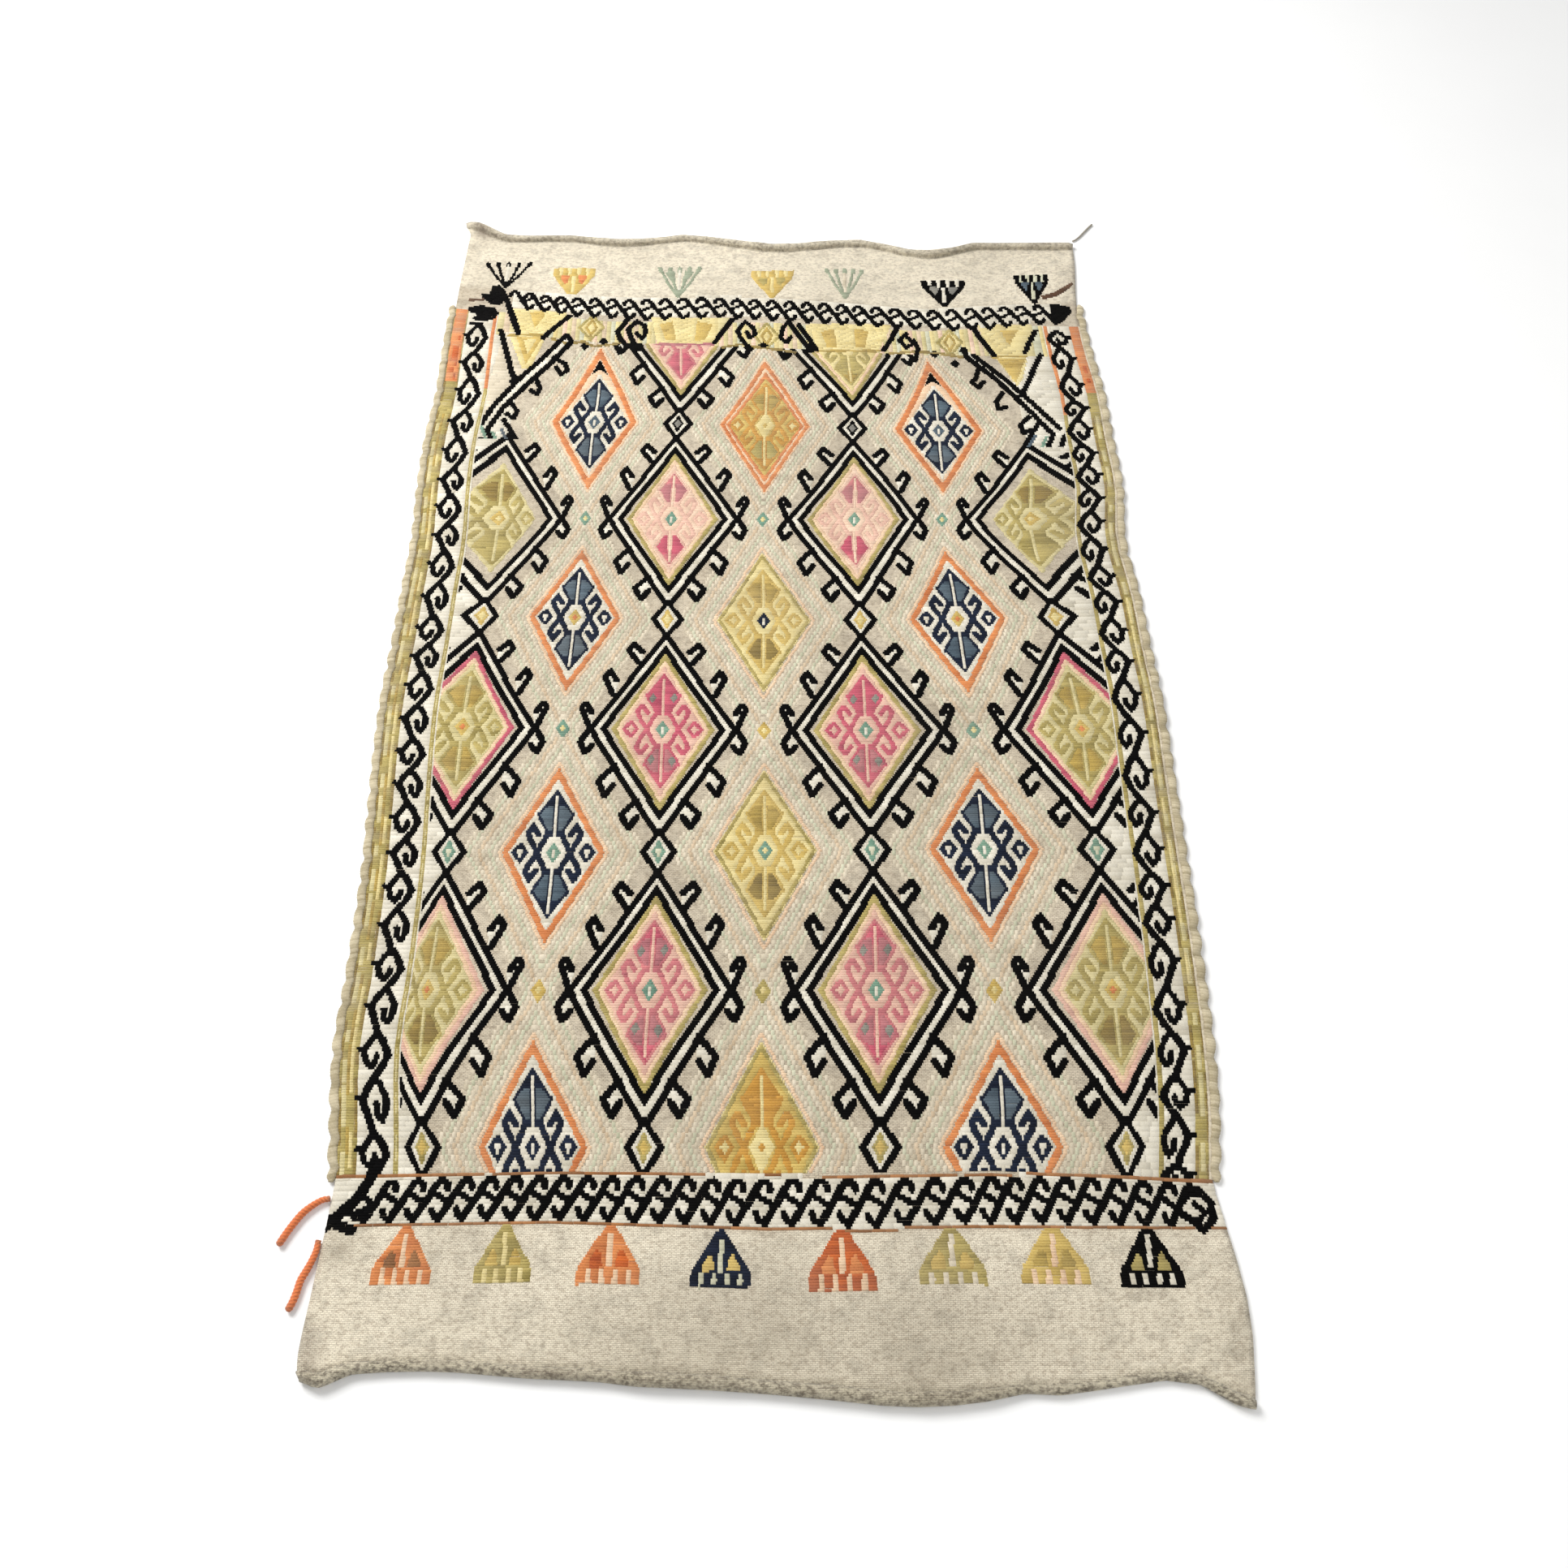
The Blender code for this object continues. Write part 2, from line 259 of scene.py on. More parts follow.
@dataclass(frozen=True)
class YarnFinish:
    """Dyed wool yarn: two shades of its dye, its sheen, and how strongly its plies show."""
    name: str
    light: Colour
    dark: Colour
    roughness: float = 0.92
    sheen: float = 0.25
    ply: float = 900.0
    shine: float = 0.22
    relief: float = 0.0005
    soil_and_shade_tone: Colour = (150, 138, 118)

    def material(self) -> bpy.types.Material:
        """The yarn's material.

        Returns:
            Mottled wool with fine plies, darker with dirt and with painted shade in its hollows.
        """
        bench = Bench(self.name)
        fuzz = bench.noise(700.0, 4.0)
        wave = bench.add("TexWave", {"Vector": bench.place, "Scale": self.ply / 6.3,
                                     "Distortion": 1.2, "Detail": 1.0, "Detail Scale": 2.0},
                         wave_type="BANDS", bands_direction="DIAGONAL").outputs["Fac"]
        patch = bench.sum(bench.noise(45.0, 2.0), 0.2, bench.sum(fuzz, 0.7, -0.32))
        share = bench.clamp(bench.sum(bench.attribute("tint"), 0.75, patch))
        colour = bench.mix(share, linear(self.dark), linear(self.light))
        # Darker towards its dirt tone by the darkening value: dirt and painted shade on the
        # brocade, painted shade on the overcast sides and in the loose yarns' ply grooves.
        soil_and_shade_tone = bench.mix(0.5, colour, linear(self.soil_and_shade_tone))
        colour = bench.mix(bench.attribute("soil_and_shade"), colour, soil_and_shade_tone)
        normal = bench.bump(0.55, self.relief, Height=bench.sum(wave, 0.5, fuzz))
        return bench.wool(colour, normal, self.roughness, self.shine, self.sheen, 0.55)


@dataclass(frozen=True)
class ClothFinish:
    """The undyed cream ground: weft ribs with painted shade in their grooves, soft blotches,
    painted grey-olive shade on the rolls, and darker patches of dirt and painted shade.
    """
    name: str = "cream_ground"
    cream: Colour = (232, 220, 197)
    shade: Colour = (190, 175, 148)
    flap: Colour = (253, 243, 218)
    # Painted shade on the rolled ends: the next two colours, a grey-olive and the dark specks mixed
    # into it.
    roll: Colour = (196, 186, 160)
    roll_dark_shade: Colour = (66, 58, 44)
    stain: Colour = (84, 62, 48)
    # Tone for the darkening value: dirt on the cloth, and painted shade in the pinches along the
    # sides.
    soil_and_shade_tone: Colour = (126, 114, 94)
    rib_width: float = 4.2
    rib_height: float = 1.7

    def material(self) -> bpy.types.Material:
        """The cloth's material.

        Returns:
            Ribbed, blotched cream wool, with tan flaps and painted grey-olive shade on the rolled
            ends.
        """
        bench = Bench(self.name)
        shade = linear(self.shade)
        chart = bench.add("UVMap", uv_map="weave").outputs[0]
        ribs = bench.add("TexBrick", {"Vector": chart, "Color1": (0.65, 0.65, 0.65, 1.0),
                                      "Color2": (1.0, 1.0, 1.0, 1.0), "Mortar": (0.2, 0.2, 0.2, 1),
                                      "Scale": 1.0, "Mortar Size": 0.22, "Mortar Smooth": 1.0,
                                      "Brick Width": self.rib_width, "Row Height": self.rib_height},
                         offset=0.5, offset_frequency=2).outputs["Color"]
        fuzz = bench.noise(900.0, 4.0)
        streaks = bench.noise(1.0, 3.0, bench.scaled(chart, (0.012, 0.16, 1.0)))
        specks = bench.noise(210.0, 3.0, bench.scaled(bench.place, (1.0, 1.5, 1.0)))
        colour = bench.mix(bench.noise(14.0, 4.0), linear(self.cream), shade)
        tan = bench.mix(bench.attribute("flap"), colour, linear(self.flap))
        colour = bench.mix(0.75, colour, tan)
        colour = bench.mix(bench.sum(streaks, 0.3), colour, shade)
        # Painted shade: the ribs' darker mortar lines darken the grooves between weft rows; the
        # bricks' two tones are the ribs' own uneven tone.
        colour = bench.mix(0.3, colour, ribs, "MULTIPLY")
        grain = bench.clamp(bench.sum(specks, 3.4, -0.75), 0.42, 1.1)
        warm = bench.tone(bench.sum(grain, 0.86, 0.14), bench.sum(grain, 0.94, 0.05), grain)
        colour = bench.mix(0.52, colour, warm, "MULTIPLY")
        cloud = bench.clamp(bench.sum(bench.noise(62.0, 4.0), 2.6, -0.35), 0.6)
        colour = bench.mix(0.44, colour, bench.tone(cloud, cloud, cloud), "MULTIPLY")
        # Painted shade on the rolled ends: grey-olive with dark specks, mixed in by the roll value.
        lumps = bench.clamp(bench.sum(specks, 4.2, -1.6))
        roll = bench.mix(lumps, linear(self.roll_dark_shade), linear(self.roll))
        for name, tint in (("roll", roll), ("soil_and_shade", linear(self.soil_and_shade_tone)),
                           ("stain", linear(self.stain))):
            colour = bench.mix(bench.attribute(name), colour, tint)
        wrinkles = bench.bump(1.0, 0.0022, Height=bench.noise(24.0, 2.5))
        height = bench.sum(fuzz, 0.4, bench.sum(ribs, 0.6, specks))
        normal = bench.bump(0.9, 0.0013, Height=height, Normal=wrinkles)
        return bench.wool(colour, normal, 0.94, 0.2, 0.25, 0.5)


SHADES: dict[Dye, tuple[Colour, Colour]] = {
    Dye.BLACK: ((13, 12, 12), (4, 4, 4)),
    Dye.WHITE: ((229, 223, 207), (180, 172, 152)),
    Dye.IVORY: ((222, 210, 187), (172, 160, 136)),
    Dye.SAND: ((218, 196, 166), (172, 152, 124)),
    Dye.CELADON: ((208, 206, 180), (164, 163, 136)),
    Dye.NAVY: ((34, 43, 62), (11, 15, 25)),
    Dye.SLATE: ((92, 108, 118), (46, 58, 68)),
    Dye.ORANGE: ((224, 146, 86), (166, 88, 42)),
    Dye.RUST: ((208, 104, 40), (138, 54, 16)),
    Dye.PEACH: ((235, 207, 174), (200, 165, 131)),
    Dye.PALE_PINK: ((230, 190, 168), (186, 144, 128)),
    Dye.PINK: ((210, 100, 116), (148, 58, 78)),
    Dye.ROSE: ((192, 122, 124), (142, 84, 90)),
    Dye.STRAW: ((228, 213, 156), (190, 170, 108)),
    Dye.YELLOW: ((214, 186, 106), (158, 130, 58)),
    Dye.GOLD: ((206, 154, 66), (152, 106, 34)),
    Dye.MUSTARD: ((192, 164, 84), (128, 106, 46)),
    Dye.PISTACHIO: ((217, 204, 155), (172, 160, 108)),
    Dye.OLIVE: ((190, 172, 104), (122, 108, 52)),
    Dye.DARK_OLIVE: ((156, 132, 66), (100, 82, 38)),
    Dye.GREEN: ((124, 160, 136), (80, 114, 98)),
    Dye.BROWN: ((176, 118, 68), (104, 68, 38)),
    Dye.GREY: ((146, 142, 130), (92, 90, 84)),
    Dye.DUSTY: ((212, 128, 128), (152, 82, 90)),
    Dye.SAGE: ((160, 168, 144), (112, 122, 98)),
    Dye.UMBER: ((96, 66, 44), (54, 34, 22)),
    Dye.BLUSH: ((234, 206, 180), (196, 162, 138)),
}
ODD_WOOLS: dict[Dye, dict[str, object]] = {
    Dye.BLACK: {"sheen": 0.0, "shine": 0.06, "soil_and_shade_tone": (26, 24, 21)},
    Dye.NAVY: {"sheen": 0.04, "shine": 0.1, "soil_and_shade_tone": (40, 40, 43)},
    Dye.SLATE: {"sheen": 0.1}, Dye.UMBER: {"sheen": 0.08}, Dye.DUSTY: {"name": "dusty_pink_wool"},
}


def wool_finish(dye: Dye) -> YarnFinish:
    """The finish of one of the brocade's wools.

    Args:
        dye: The wool's dye.

    Returns:
        Its finish, with what is odd about it.
    """
    light, dark = SHADES[dye]
    values = {"name": f"{dye.name.lower()}_wool", "light": light, "dark": dark}
    return YarnFinish(**(values | ODD_WOOLS.get(dye, {})))


# The rug's own shape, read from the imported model
class Weft(NamedTuple):
    """A weft line of the pattern: its chart height, and its place along at five shares."""
    chart: float
    places: tuple[float, float, float, float, float]


class Warp(NamedTuple):
    """The shares of the width at which the four main columns stand, at a chart height."""
    chart: float
    shares: tuple[float, float, float, float]


WEFTS = [
    Weft(-230.0, (-834.5, -831.3, -837.7, -835.6, -836.6)),
    Weft(-48.0, (-652.5, -649.3, -655.7, -653.6, -654.6)),
    Weft(0.0, (-607.5, -603.2, -605.4, -602.1, -612.9)),
    Weft(26.5, (-574.3,) * 5),
    Weft(190.4, (-405.0,) * 5),
    Weft(354.4, (-237.9, -240.0, -236.8, -234.7, -235.7)),
    Weft(518.4, (-70.7, -73.9, -77.2, -76.1, -73.9)),
    Weft(682.4, (94.3, 88.9, 83.5, 86.8, 93.2)),
    Weft(846.4, (246.4, 248.5, 246.4, 246.4, 248.5)),
    Weft(1010.4, (418.9, 417.8, 411.4, 401.8, 399.6)),
    Weft(1161.2, (588.2, 568.9, 558.2, 543.2, 538.9)),
    Weft(1206.0, (639.6, 612.8, 609.6, 593.5, 603.2)),
    Weft(1247.0, (684.6, 662.1, 656.7, 637.5, 648.2)),
    Weft(1420.0, (855.5, 835.1, 829.8, 809.4, 819.0)),
]
WARPS = [Warp(0.0, (0.098, 0.350, 0.621, 0.903)), Warp(190.0, (0.0895, 0.352, 0.619, 0.898)),
    Warp(518.0, (0.1024, 0.3595, 0.621, 0.899)), Warp(846.0, (0.114, 0.360, 0.6226, 0.874)),
    Warp(1010.0, (0.114, 0.3636, 0.6238, 0.880)), Warp(1161.0, (0.114, 0.365, 0.626, 0.870)), ]
WEFT_HEIGHTS = [weft.chart for weft in WEFTS]
WEFT_SHARES = np.linspace(0, 1, 5)
CHART_WIDTH = 885.6
COLUMN_PITCH = 236.15
ROW_PITCH = 164.0
MAIN_COLUMNS = [CHART_WIDTH / 2 + COLUMN_PITCH * step for step in (-1.5, -0.5, 0.5, 1.5)]
BETWEEN_COLUMNS = [CHART_WIDTH / 2 + COLUMN_PITCH * step for step in (-1.0, 0.0, 1.0)]
MAIN_ROWS = [190.4 + 2 * ROW_PITCH * step for step in range(4)]
BETWEEN_ROWS = [26.4 + 2 * ROW_PITCH * step for step in range(4)]
BAND_TOP = 0.0
SEAM = 1161.2
UPPER_BAND_BOTTOM = 1206.0
SIDE_ZONES = (62.0, 54.0)
NEAR_INSIDE, FAR_INSIDE = -0.75, 0.74  # places along, a little inside each rolled end


def sliced(obj: Piece, axis: int, value: float) -> Array:
    """Where a plane across an axis cuts the edges of a mesh.

    Args:
        obj: The mesh object, at the origin.
        axis: 0 for a plane at one x, 1 for one y.
        value: The plane's place on the axis.

    Returns:
        The cut points, one row each.
    """
    mesh = obj.data
    points = np.empty(len(mesh.vertices) * 3)
    mesh.vertices.foreach_get("co", points)
    pairs = np.empty(len(mesh.edges) * 2, dtype=np.int32)
    mesh.edges.foreach_get("vertices", pairs)
    points, pairs = points.reshape(-1, 3), pairs.reshape(-1, 2)
    a, b = points[pairs[:, 0]], points[pairs[:, 1]]
    low, high = a[:, axis] - value, b[:, axis] - value
    cut = (low * high <= 0) & (np.abs(high - low) > 1e-9)
    a, b, low, high = a[cut], b[cut], low[cut], high[cut]
    return a + (b - a) * (low / (low - high))[:, None]


def extents(cuts: Sequence[Array], axis: int) -> tuple[Array, Array]:
    """The least and the greatest place of each cut along an axis."""
    return tuple(np.array([pick(cut[:, axis]) for cut in cuts]) for pick in (np.min, np.max))


@dataclass
class RugForm:
    """The sheet's outline, its lift off the floor and its rolled ends, from the CAD solids."""
    cloth: float = 0.003
    sunk: float = 0.0007
    stripe: float = 0.018
    stripe_rise: float = 0.0012
    spacing: float = 0.010
    soften: float = 0.011
    roll_reach: float = 0.016
    ripple: Mottle = field(default_factory=lambda: Mottle(0.034, 3))

    def __post_init__(self) -> None:
        """Reads the outline, the rolls and the lift from the sheet's solid."""
        self.sheet = bpy.data.objects["kilim_sheet"]
        self.low, self.high = low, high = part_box("kilim_sheet")
        self.ys = np.arange(low.y + 0.002, high.y - 0.001, 0.006)
        self.lefts, self.rights = extents([sliced(self.sheet, 1, y) for y in self.ys], 0)
        self.xs = np.arange(low.x + 0.002, high.x - 0.001, 0.004)
        cuts = [sliced(self.sheet, 0, x) for x in self.xs]
        self.nears, self.fars = extents(cuts, 1)
        self.near_rolls = np.array([cut[cut[:, 1] < tip + self.roll_reach, 2].max()
                                    for cut, tip in zip(cuts, self.nears)])
        self.far_rolls = np.array([cut[cut[:, 1] > tip - self.roll_reach, 2].max()
                                   for cut, tip in zip(cuts, self.fars)])
        self.hold_corners()
        self.read_lift()

    def hold_corners(self) -> None:
        """Holds each outline at its corner's value beyond the corner."""
        for tips, rolls, start, inward in ((self.nears, self.near_rolls, NEAR_INSIDE, 0.002),
                                           (self.fars, self.far_rolls, FAR_INSIDE, -0.002)):
            for sides, step in ((self.lefts, 0.003), (self.rights, -0.003)):
                y = start
                for _ in range(8):
                    x = float(np.interp(y, self.ys, sides))
                    y = float(np.interp(x + step, self.xs, tips)) + inward
                beyond = self.ys < y if start < 0 else self.ys > y
                sides[beyond] = np.interp(y, self.ys, sides)
                outside = self.xs < x + step if step > 0 else self.xs > x + step
                tips[outside] = np.interp(x + step, self.xs, tips)
                rolls[outside] = np.interp(x + step, self.xs, rolls)

    def read_lift(self) -> None:
        """Reads how far the sheet stands off the floor, on a softened grid."""
        tree = BVHTree.FromObject(self.sheet, bpy.context.evaluated_depsgraph_get())
        self.grid_x = np.arange(self.low.x - 0.02, self.high.x + 0.03, self.spacing)
        self.grid_y = np.arange(self.low.y - 0.02, self.high.y + 0.03, self.spacing)
        up = Vector((0.0, 0.0, 1.0))
        lift = np.zeros((len(self.grid_y), len(self.grid_x)))
        for j, y in enumerate(self.grid_y):
            for i, x in enumerate(self.grid_x):
                hit = tree.ray_cast(Vector((x, y, -1.0)), up)[0]
                lift[j, i] = 0.0 if hit is None else min(hit.z, 0.005)
        near = np.interp(self.grid_x, self.xs, self.nears)
        far = np.interp(self.grid_x, self.xs, self.fars)
        rows = self.grid_y[:, None]
        lift *= smoothstep(0.015, 0.035, rows - near) * smoothstep(0.015, 0.035, far - rows)
        reach = np.arange(-3, 4) * self.spacing
        kernel = np.exp(-0.5 * (reach / self.soften) ** 2)
        kernel /= kernel.sum()
        for axis in (0, 1):
            lift = np.apply_along_axis(lambda line: np.convolve(line, kernel, "same"), axis, lift)
        self.lift_grid = lift

    def lift(self, x: Array, y: Array) -> Array:
        """How far the sheet's underside stands off the floor, in metres."""
        row, column = (np.clip((place - line[0]) / self.spacing, 0, len(line) - 1.001)
                       for place, line in ((y, self.grid_y), (x, self.grid_x)))
        return read_grid(self.lift_grid, row, column, soft=False)

    def left(self, y: Array) -> Array:
        """The sheet's left side at places along."""
        return np.interp(y, self.ys, self.lefts)

    def right(self, y: Array) -> Array:
        """The sheet's right side at places along."""
        return np.interp(y, self.ys, self.rights)

    def across(self, share: Array, y: Array) -> Array:
        """The places across, in metres, of shares of the width from the left side."""
        left = self.left(y)
        return left + (self.right(y) - left) * share

    def warp_shares(self, chart_y: Array) -> Array:
        """Shares of the width of the chart's column lines, both sides included.

        Args:
            chart_y: Chart heights, in millimetres.

        Returns:
            One row for each height, with eleven shares.
        """
        y = np.interp(chart_y, WEFT_HEIGHTS, [weft.places[2] for weft in WEFTS]) * MM
        width = (self.right(y) - self.left(y)) / MM
        heights = [warp.chart for warp in WARPS]
        main = [np.interp(chart_y, heights, [warp.shares[k] for warp in WARPS])
                for k in range(4)]
        lines = [np.zeros_like(main[0]), SIDE_ZONES[0] / width, main[0]]
        for before, after in zip(main, main[1:]):
            lines += [(before + after) / 2, after]
        lines += [1 - SIDE_ZONES[1] / width, np.ones_like(main[0])]
        return np.stack(lines, axis=-1)

    def column_lines(self) -> Array:
        """Chart places of the eleven column lines."""
        inner = sorted(MAIN_COLUMNS + BETWEEN_COLUMNS)
        return np.array([0.0, SIDE_ZONES[0], *inner, CHART_WIDTH - SIDE_ZONES[1], CHART_WIDTH])

    def laid(self, chart_x: Array, chart_y: float) -> tuple[Array, ...]:
        """Where one weft line of the chart lies.

        Args:
            chart_x: Places across the chart, in millimetres.
            chart_y: The line's chart height.

        Returns:
            Places across and along in metres, and shares of the width.
        """
        share = np.interp(chart_x, self.column_lines(), self.warp_shares(np.array(chart_y)))
        nodes = [np.interp(chart_y, WEFT_HEIGHTS, places)
                 for places in zip(*(weft.places for weft in WEFTS))]
        y = np.interp(share, WEFT_SHARES, nodes) * MM
        return self.across(share, y), y, share

    def charted(self, share: float, y: Array) -> tuple[Array, Array]:
        """The chart's places of points at one share of the width.

        Args:
            share: The share of the width.
            y: Places along, in metres.

        Returns:
            Chart places across and along, in millimetres.
        """
        places = [np.interp(share, WEFT_SHARES, weft.places) for weft in WEFTS]
        chart_y = np.interp(y / MM, places, WEFT_HEIGHTS)
        lines = self.warp_shares(chart_y)
        columns = self.column_lines()
        chart_x = np.array([np.interp(share, row, columns) for row in lines])
        return chart_x, chart_y

    def top(self, x: Array, y: Array, chart_y: Array) -> Array:
        """Height of the ground cloth's upper face.

        Args:
            x: Places across.
            y: Places along.
            chart_y: The same places' chart heights.

        Returns:
            Heights in metres.
        """
        inside = smoothstep(-54, -46, chart_y) * (1 - smoothstep(1245, 1253, chart_y))
        aside = np.minimum(x - self.left(y), self.right(y) - x)
        bulge = np.clip(1 - np.abs(aside / (self.stripe / 2) - 1), 0, 1)
        stripes = smoothstep(-10, 0, chart_y) * (1 - smoothstep(1200, 1210, chart_y))
        height = self.lift(x, y) + self.cloth - self.sunk * inside
        height += self.stripe_rise * 0.75 * smoothstep(0, 1, bulge) * stripes
        return height + 0.00028 * self.ripple.at(x, y)


# The weaver's chart
@dataclass
class Chart:
    """The pattern's cells: one dye for each, with its place on the chart and on the floor."""
    form: RugForm
    cell: float = 1.64
    row: float = 2.645
    bottom: float = -112.405
    top: float = 1322.0

    def __post_init__(self) -> None:
        """Lays the cells out and starts them all as ground."""
        self.columns = round(CHART_WIDTH / self.cell)
        self.rows = round((self.top - self.bottom) / self.row / 2) * 2
        edge_x = np.linspace(0, CHART_WIDTH, self.columns + 1)
        edge_y = self.bottom + np.arange(self.rows + 1) * self.row
        lines = [self.form.laid(edge_x, y) for y in edge_y]
        self.corner_x = np.stack([line[0] for line in lines])
        self.corner_y = np.stack([line[1] for line in lines])
        heights = np.broadcast_to(edge_y[:, None], self.corner_x.shape)
        self.corner_z = self.form.top(self.corner_x, self.corner_y, heights)
        self.chart_x, self.chart_y = np.meshgrid((edge_x[1:] + edge_x[:-1]) / 2,
                                                 (edge_y[1:] + edge_y[:-1]) / 2)
        self.plan_x = self.middles(self.corner_x) / MM
        self.plan_y = self.middles(self.corner_y) / MM
        self.dyes = np.zeros(self.chart_x.shape, dtype=np.uint8)
        self.box = (0.0, self.bottom, CHART_WIDTH, self.top)

    @staticmethod
    def middles(corners: Array) -> Array:
        """The mean of each cell's four corners."""
        return (corners[1:, 1:] + corners[1:, :-1] + corners[:-1, 1:] + corners[:-1, :-1]) / 4


class Brush:
    """Fills shapes of the chart with dyes, in steps of one or two rows."""
    pad = 4.0

    def __init__(self, chart: Chart, space: Space, clip: Box) -> None:
        """Readies the brush.

        Args:
            chart: The chart it fills.
            space: What it measures in.
            clip: The left, bottom, right and top of the chart's box that it stays in.
        """
        self.chart = chart
        self.x = chart.plan_x if space is Space.PLAN else chart.chart_x
        self.y = chart.chart_y if space is Space.CHART else chart.plan_y
        pairs = self.y.reshape(-1, 2, self.y.shape[1]).mean(axis=1)
        self.paired_y = np.repeat(pairs, 2, axis=0)
        self.spans = [(places.min(axis=axis), places.max(axis=axis))
                      for places, axis in ((self.y, 1), (self.x, 0))]
        left, bottom, right, top = clip
        self.inside = ((chart.chart_x >= left) & (chart.chart_x <= right)
                       & (chart.chart_y >= bottom) & (chart.chart_y <= top))

    def cells(self, low: Place, high: Place,
              dye: Dye) -> tuple[Array, Array, Window]:
        """The cells that a shape can reach, in the dye's own steps.

        Args:
            low: The shape's lowest corner.
            high: Its highest corner.
            dye: The dye that will fill it.

        Returns:
            Places across and along, and the cells' rows and columns.
        """
        window = []
        for (least, most), start, end in zip(self.spans, low[::-1], high[::-1]):
            near = np.flatnonzero((least < end + self.pad) & (most > start - self.pad))
            window.append(slice(near[0], near[-1] + 1) if len(near) else slice(0, 0))
        window = tuple(window)
        return self.x[window], (self.paired_y if dye in PAIRED else self.y)[window], window

    def fill(self, mask: Array, window: Window, dye: Dye) -> None:
        """Fills the masked cells of a window."""
        self.chart.dyes[window][mask & self.inside[window]] = dye

    def box(self, left: float, bottom: float, right: float, top: float, dye: Dye) -> None:
        """Fills an upright box."""
        x, y, window = self.cells((left, bottom), (right, top), dye)
        self.fill((x >= left) & (x <= right) & (y >= bottom) & (y <= top), window, dye)

    def diamond(self, x0: float, y0: float, half: float, rise: float | tuple[float, float],
                dye: Dye, line: float | None = None) -> None:
        """Fills a diamond, or the line round it.

        Args:
            x0: Its middle across.
            y0: Its middle along.
            half: Half its width.
            rise: Half its height, or its height above and below its middle.
            dye: The dye.
            line: The line's width across, where only the line is filled.
        """
        up, down = rise if isinstance(rise, tuple) else (rise, rise)
        reach = half + (line or 0.0)
        tall = reach / half
        x, y, window = self.cells((x0 - reach, y0 - down * tall), (x0 + reach, y0 + up * tall),
                                  dye)
        size = np.abs(x - x0) / half + np.abs(y - y0) / np.where(y > y0, up, down)
        self.fill(size <= 1 if line is None else np.abs(size - 1) <= line / 2 / half, window, dye)

    def nest(self, x0: float, y0: float, *layers: tuple) -> None:
        """Fills diamonds round one middle, each over the one before it."""
        for layer in layers:
            self.diamond(x0, y0, *layer)

    def stroke(self, points: Points, width: float, dye: Dye = Dye.BLACK) -> None:
        """Fills a line with round ends.

        Args:
            points: The line's points.
            width: Its width.
            dye: The dye.
        """
        for (ax, ay), (bx, by) in zip(points, points[1:]):
            x, y, window = self.cells((min(ax, bx) - width, min(ay, by) - width),
                                      (max(ax, bx) + width, max(ay, by) + width), dye)
            run = max((bx - ax) ** 2 + (by - ay) ** 2, 1e-9)
            share = np.clip(((x - ax) * (bx - ax) + (y - ay) * (by - ay)) / run, 0, 1)
            away = np.hypot(x - ax - share * (bx - ax), y - ay - share * (by - ay))
            self.fill(away <= width / 2, window, dye)

    def patch(self, points: Points, dye: Dye) -> None:
        """Fills a closed shape.

        Args:
            points: The shape's corners, in order.
            dye: The dye.
        """
        low, high = (tuple(pick(column) for column in zip(*points)) for pick in (min, max))
        x, y, window = self.cells(low, high, dye)
        mask = np.zeros(x.shape, bool)
        for (ax, ay), (bx, by) in zip(points, [*points[1:], points[0]]):
            if ay != by:
                crosses = (y < ay) != (y < by)
                mask ^= crosses & (x < ax + (y - ay) / (by - ay) * (bx - ax))
        self.fill(mask, window, dye)


class Spot(NamedTuple):
    """Where a motif of the field stands: its middle, its column and its row."""
    x: float
    y: float
    column: int
    row: int


@dataclass(frozen=True)
class Palette:
    """The dyes of a diamond: ground, lines, leaves, their hearts, the middle and its ring."""
    ground: Dye
    line: Dye
    leaf: Dye
    heart: Dye
    low_heart: Dye
    spine: Dye
    middle: Dye
    core: Dye
    ring: Dye
    width: float = 6.2
    spine_half: float = 1.7

    @classmethod
    def of(cls, words: str, *widths: float) -> Palette:
        """A palette from its dyes' names, in the order of its fields."""
        return cls(*(Dye[word] for word in words.split()), *widths)


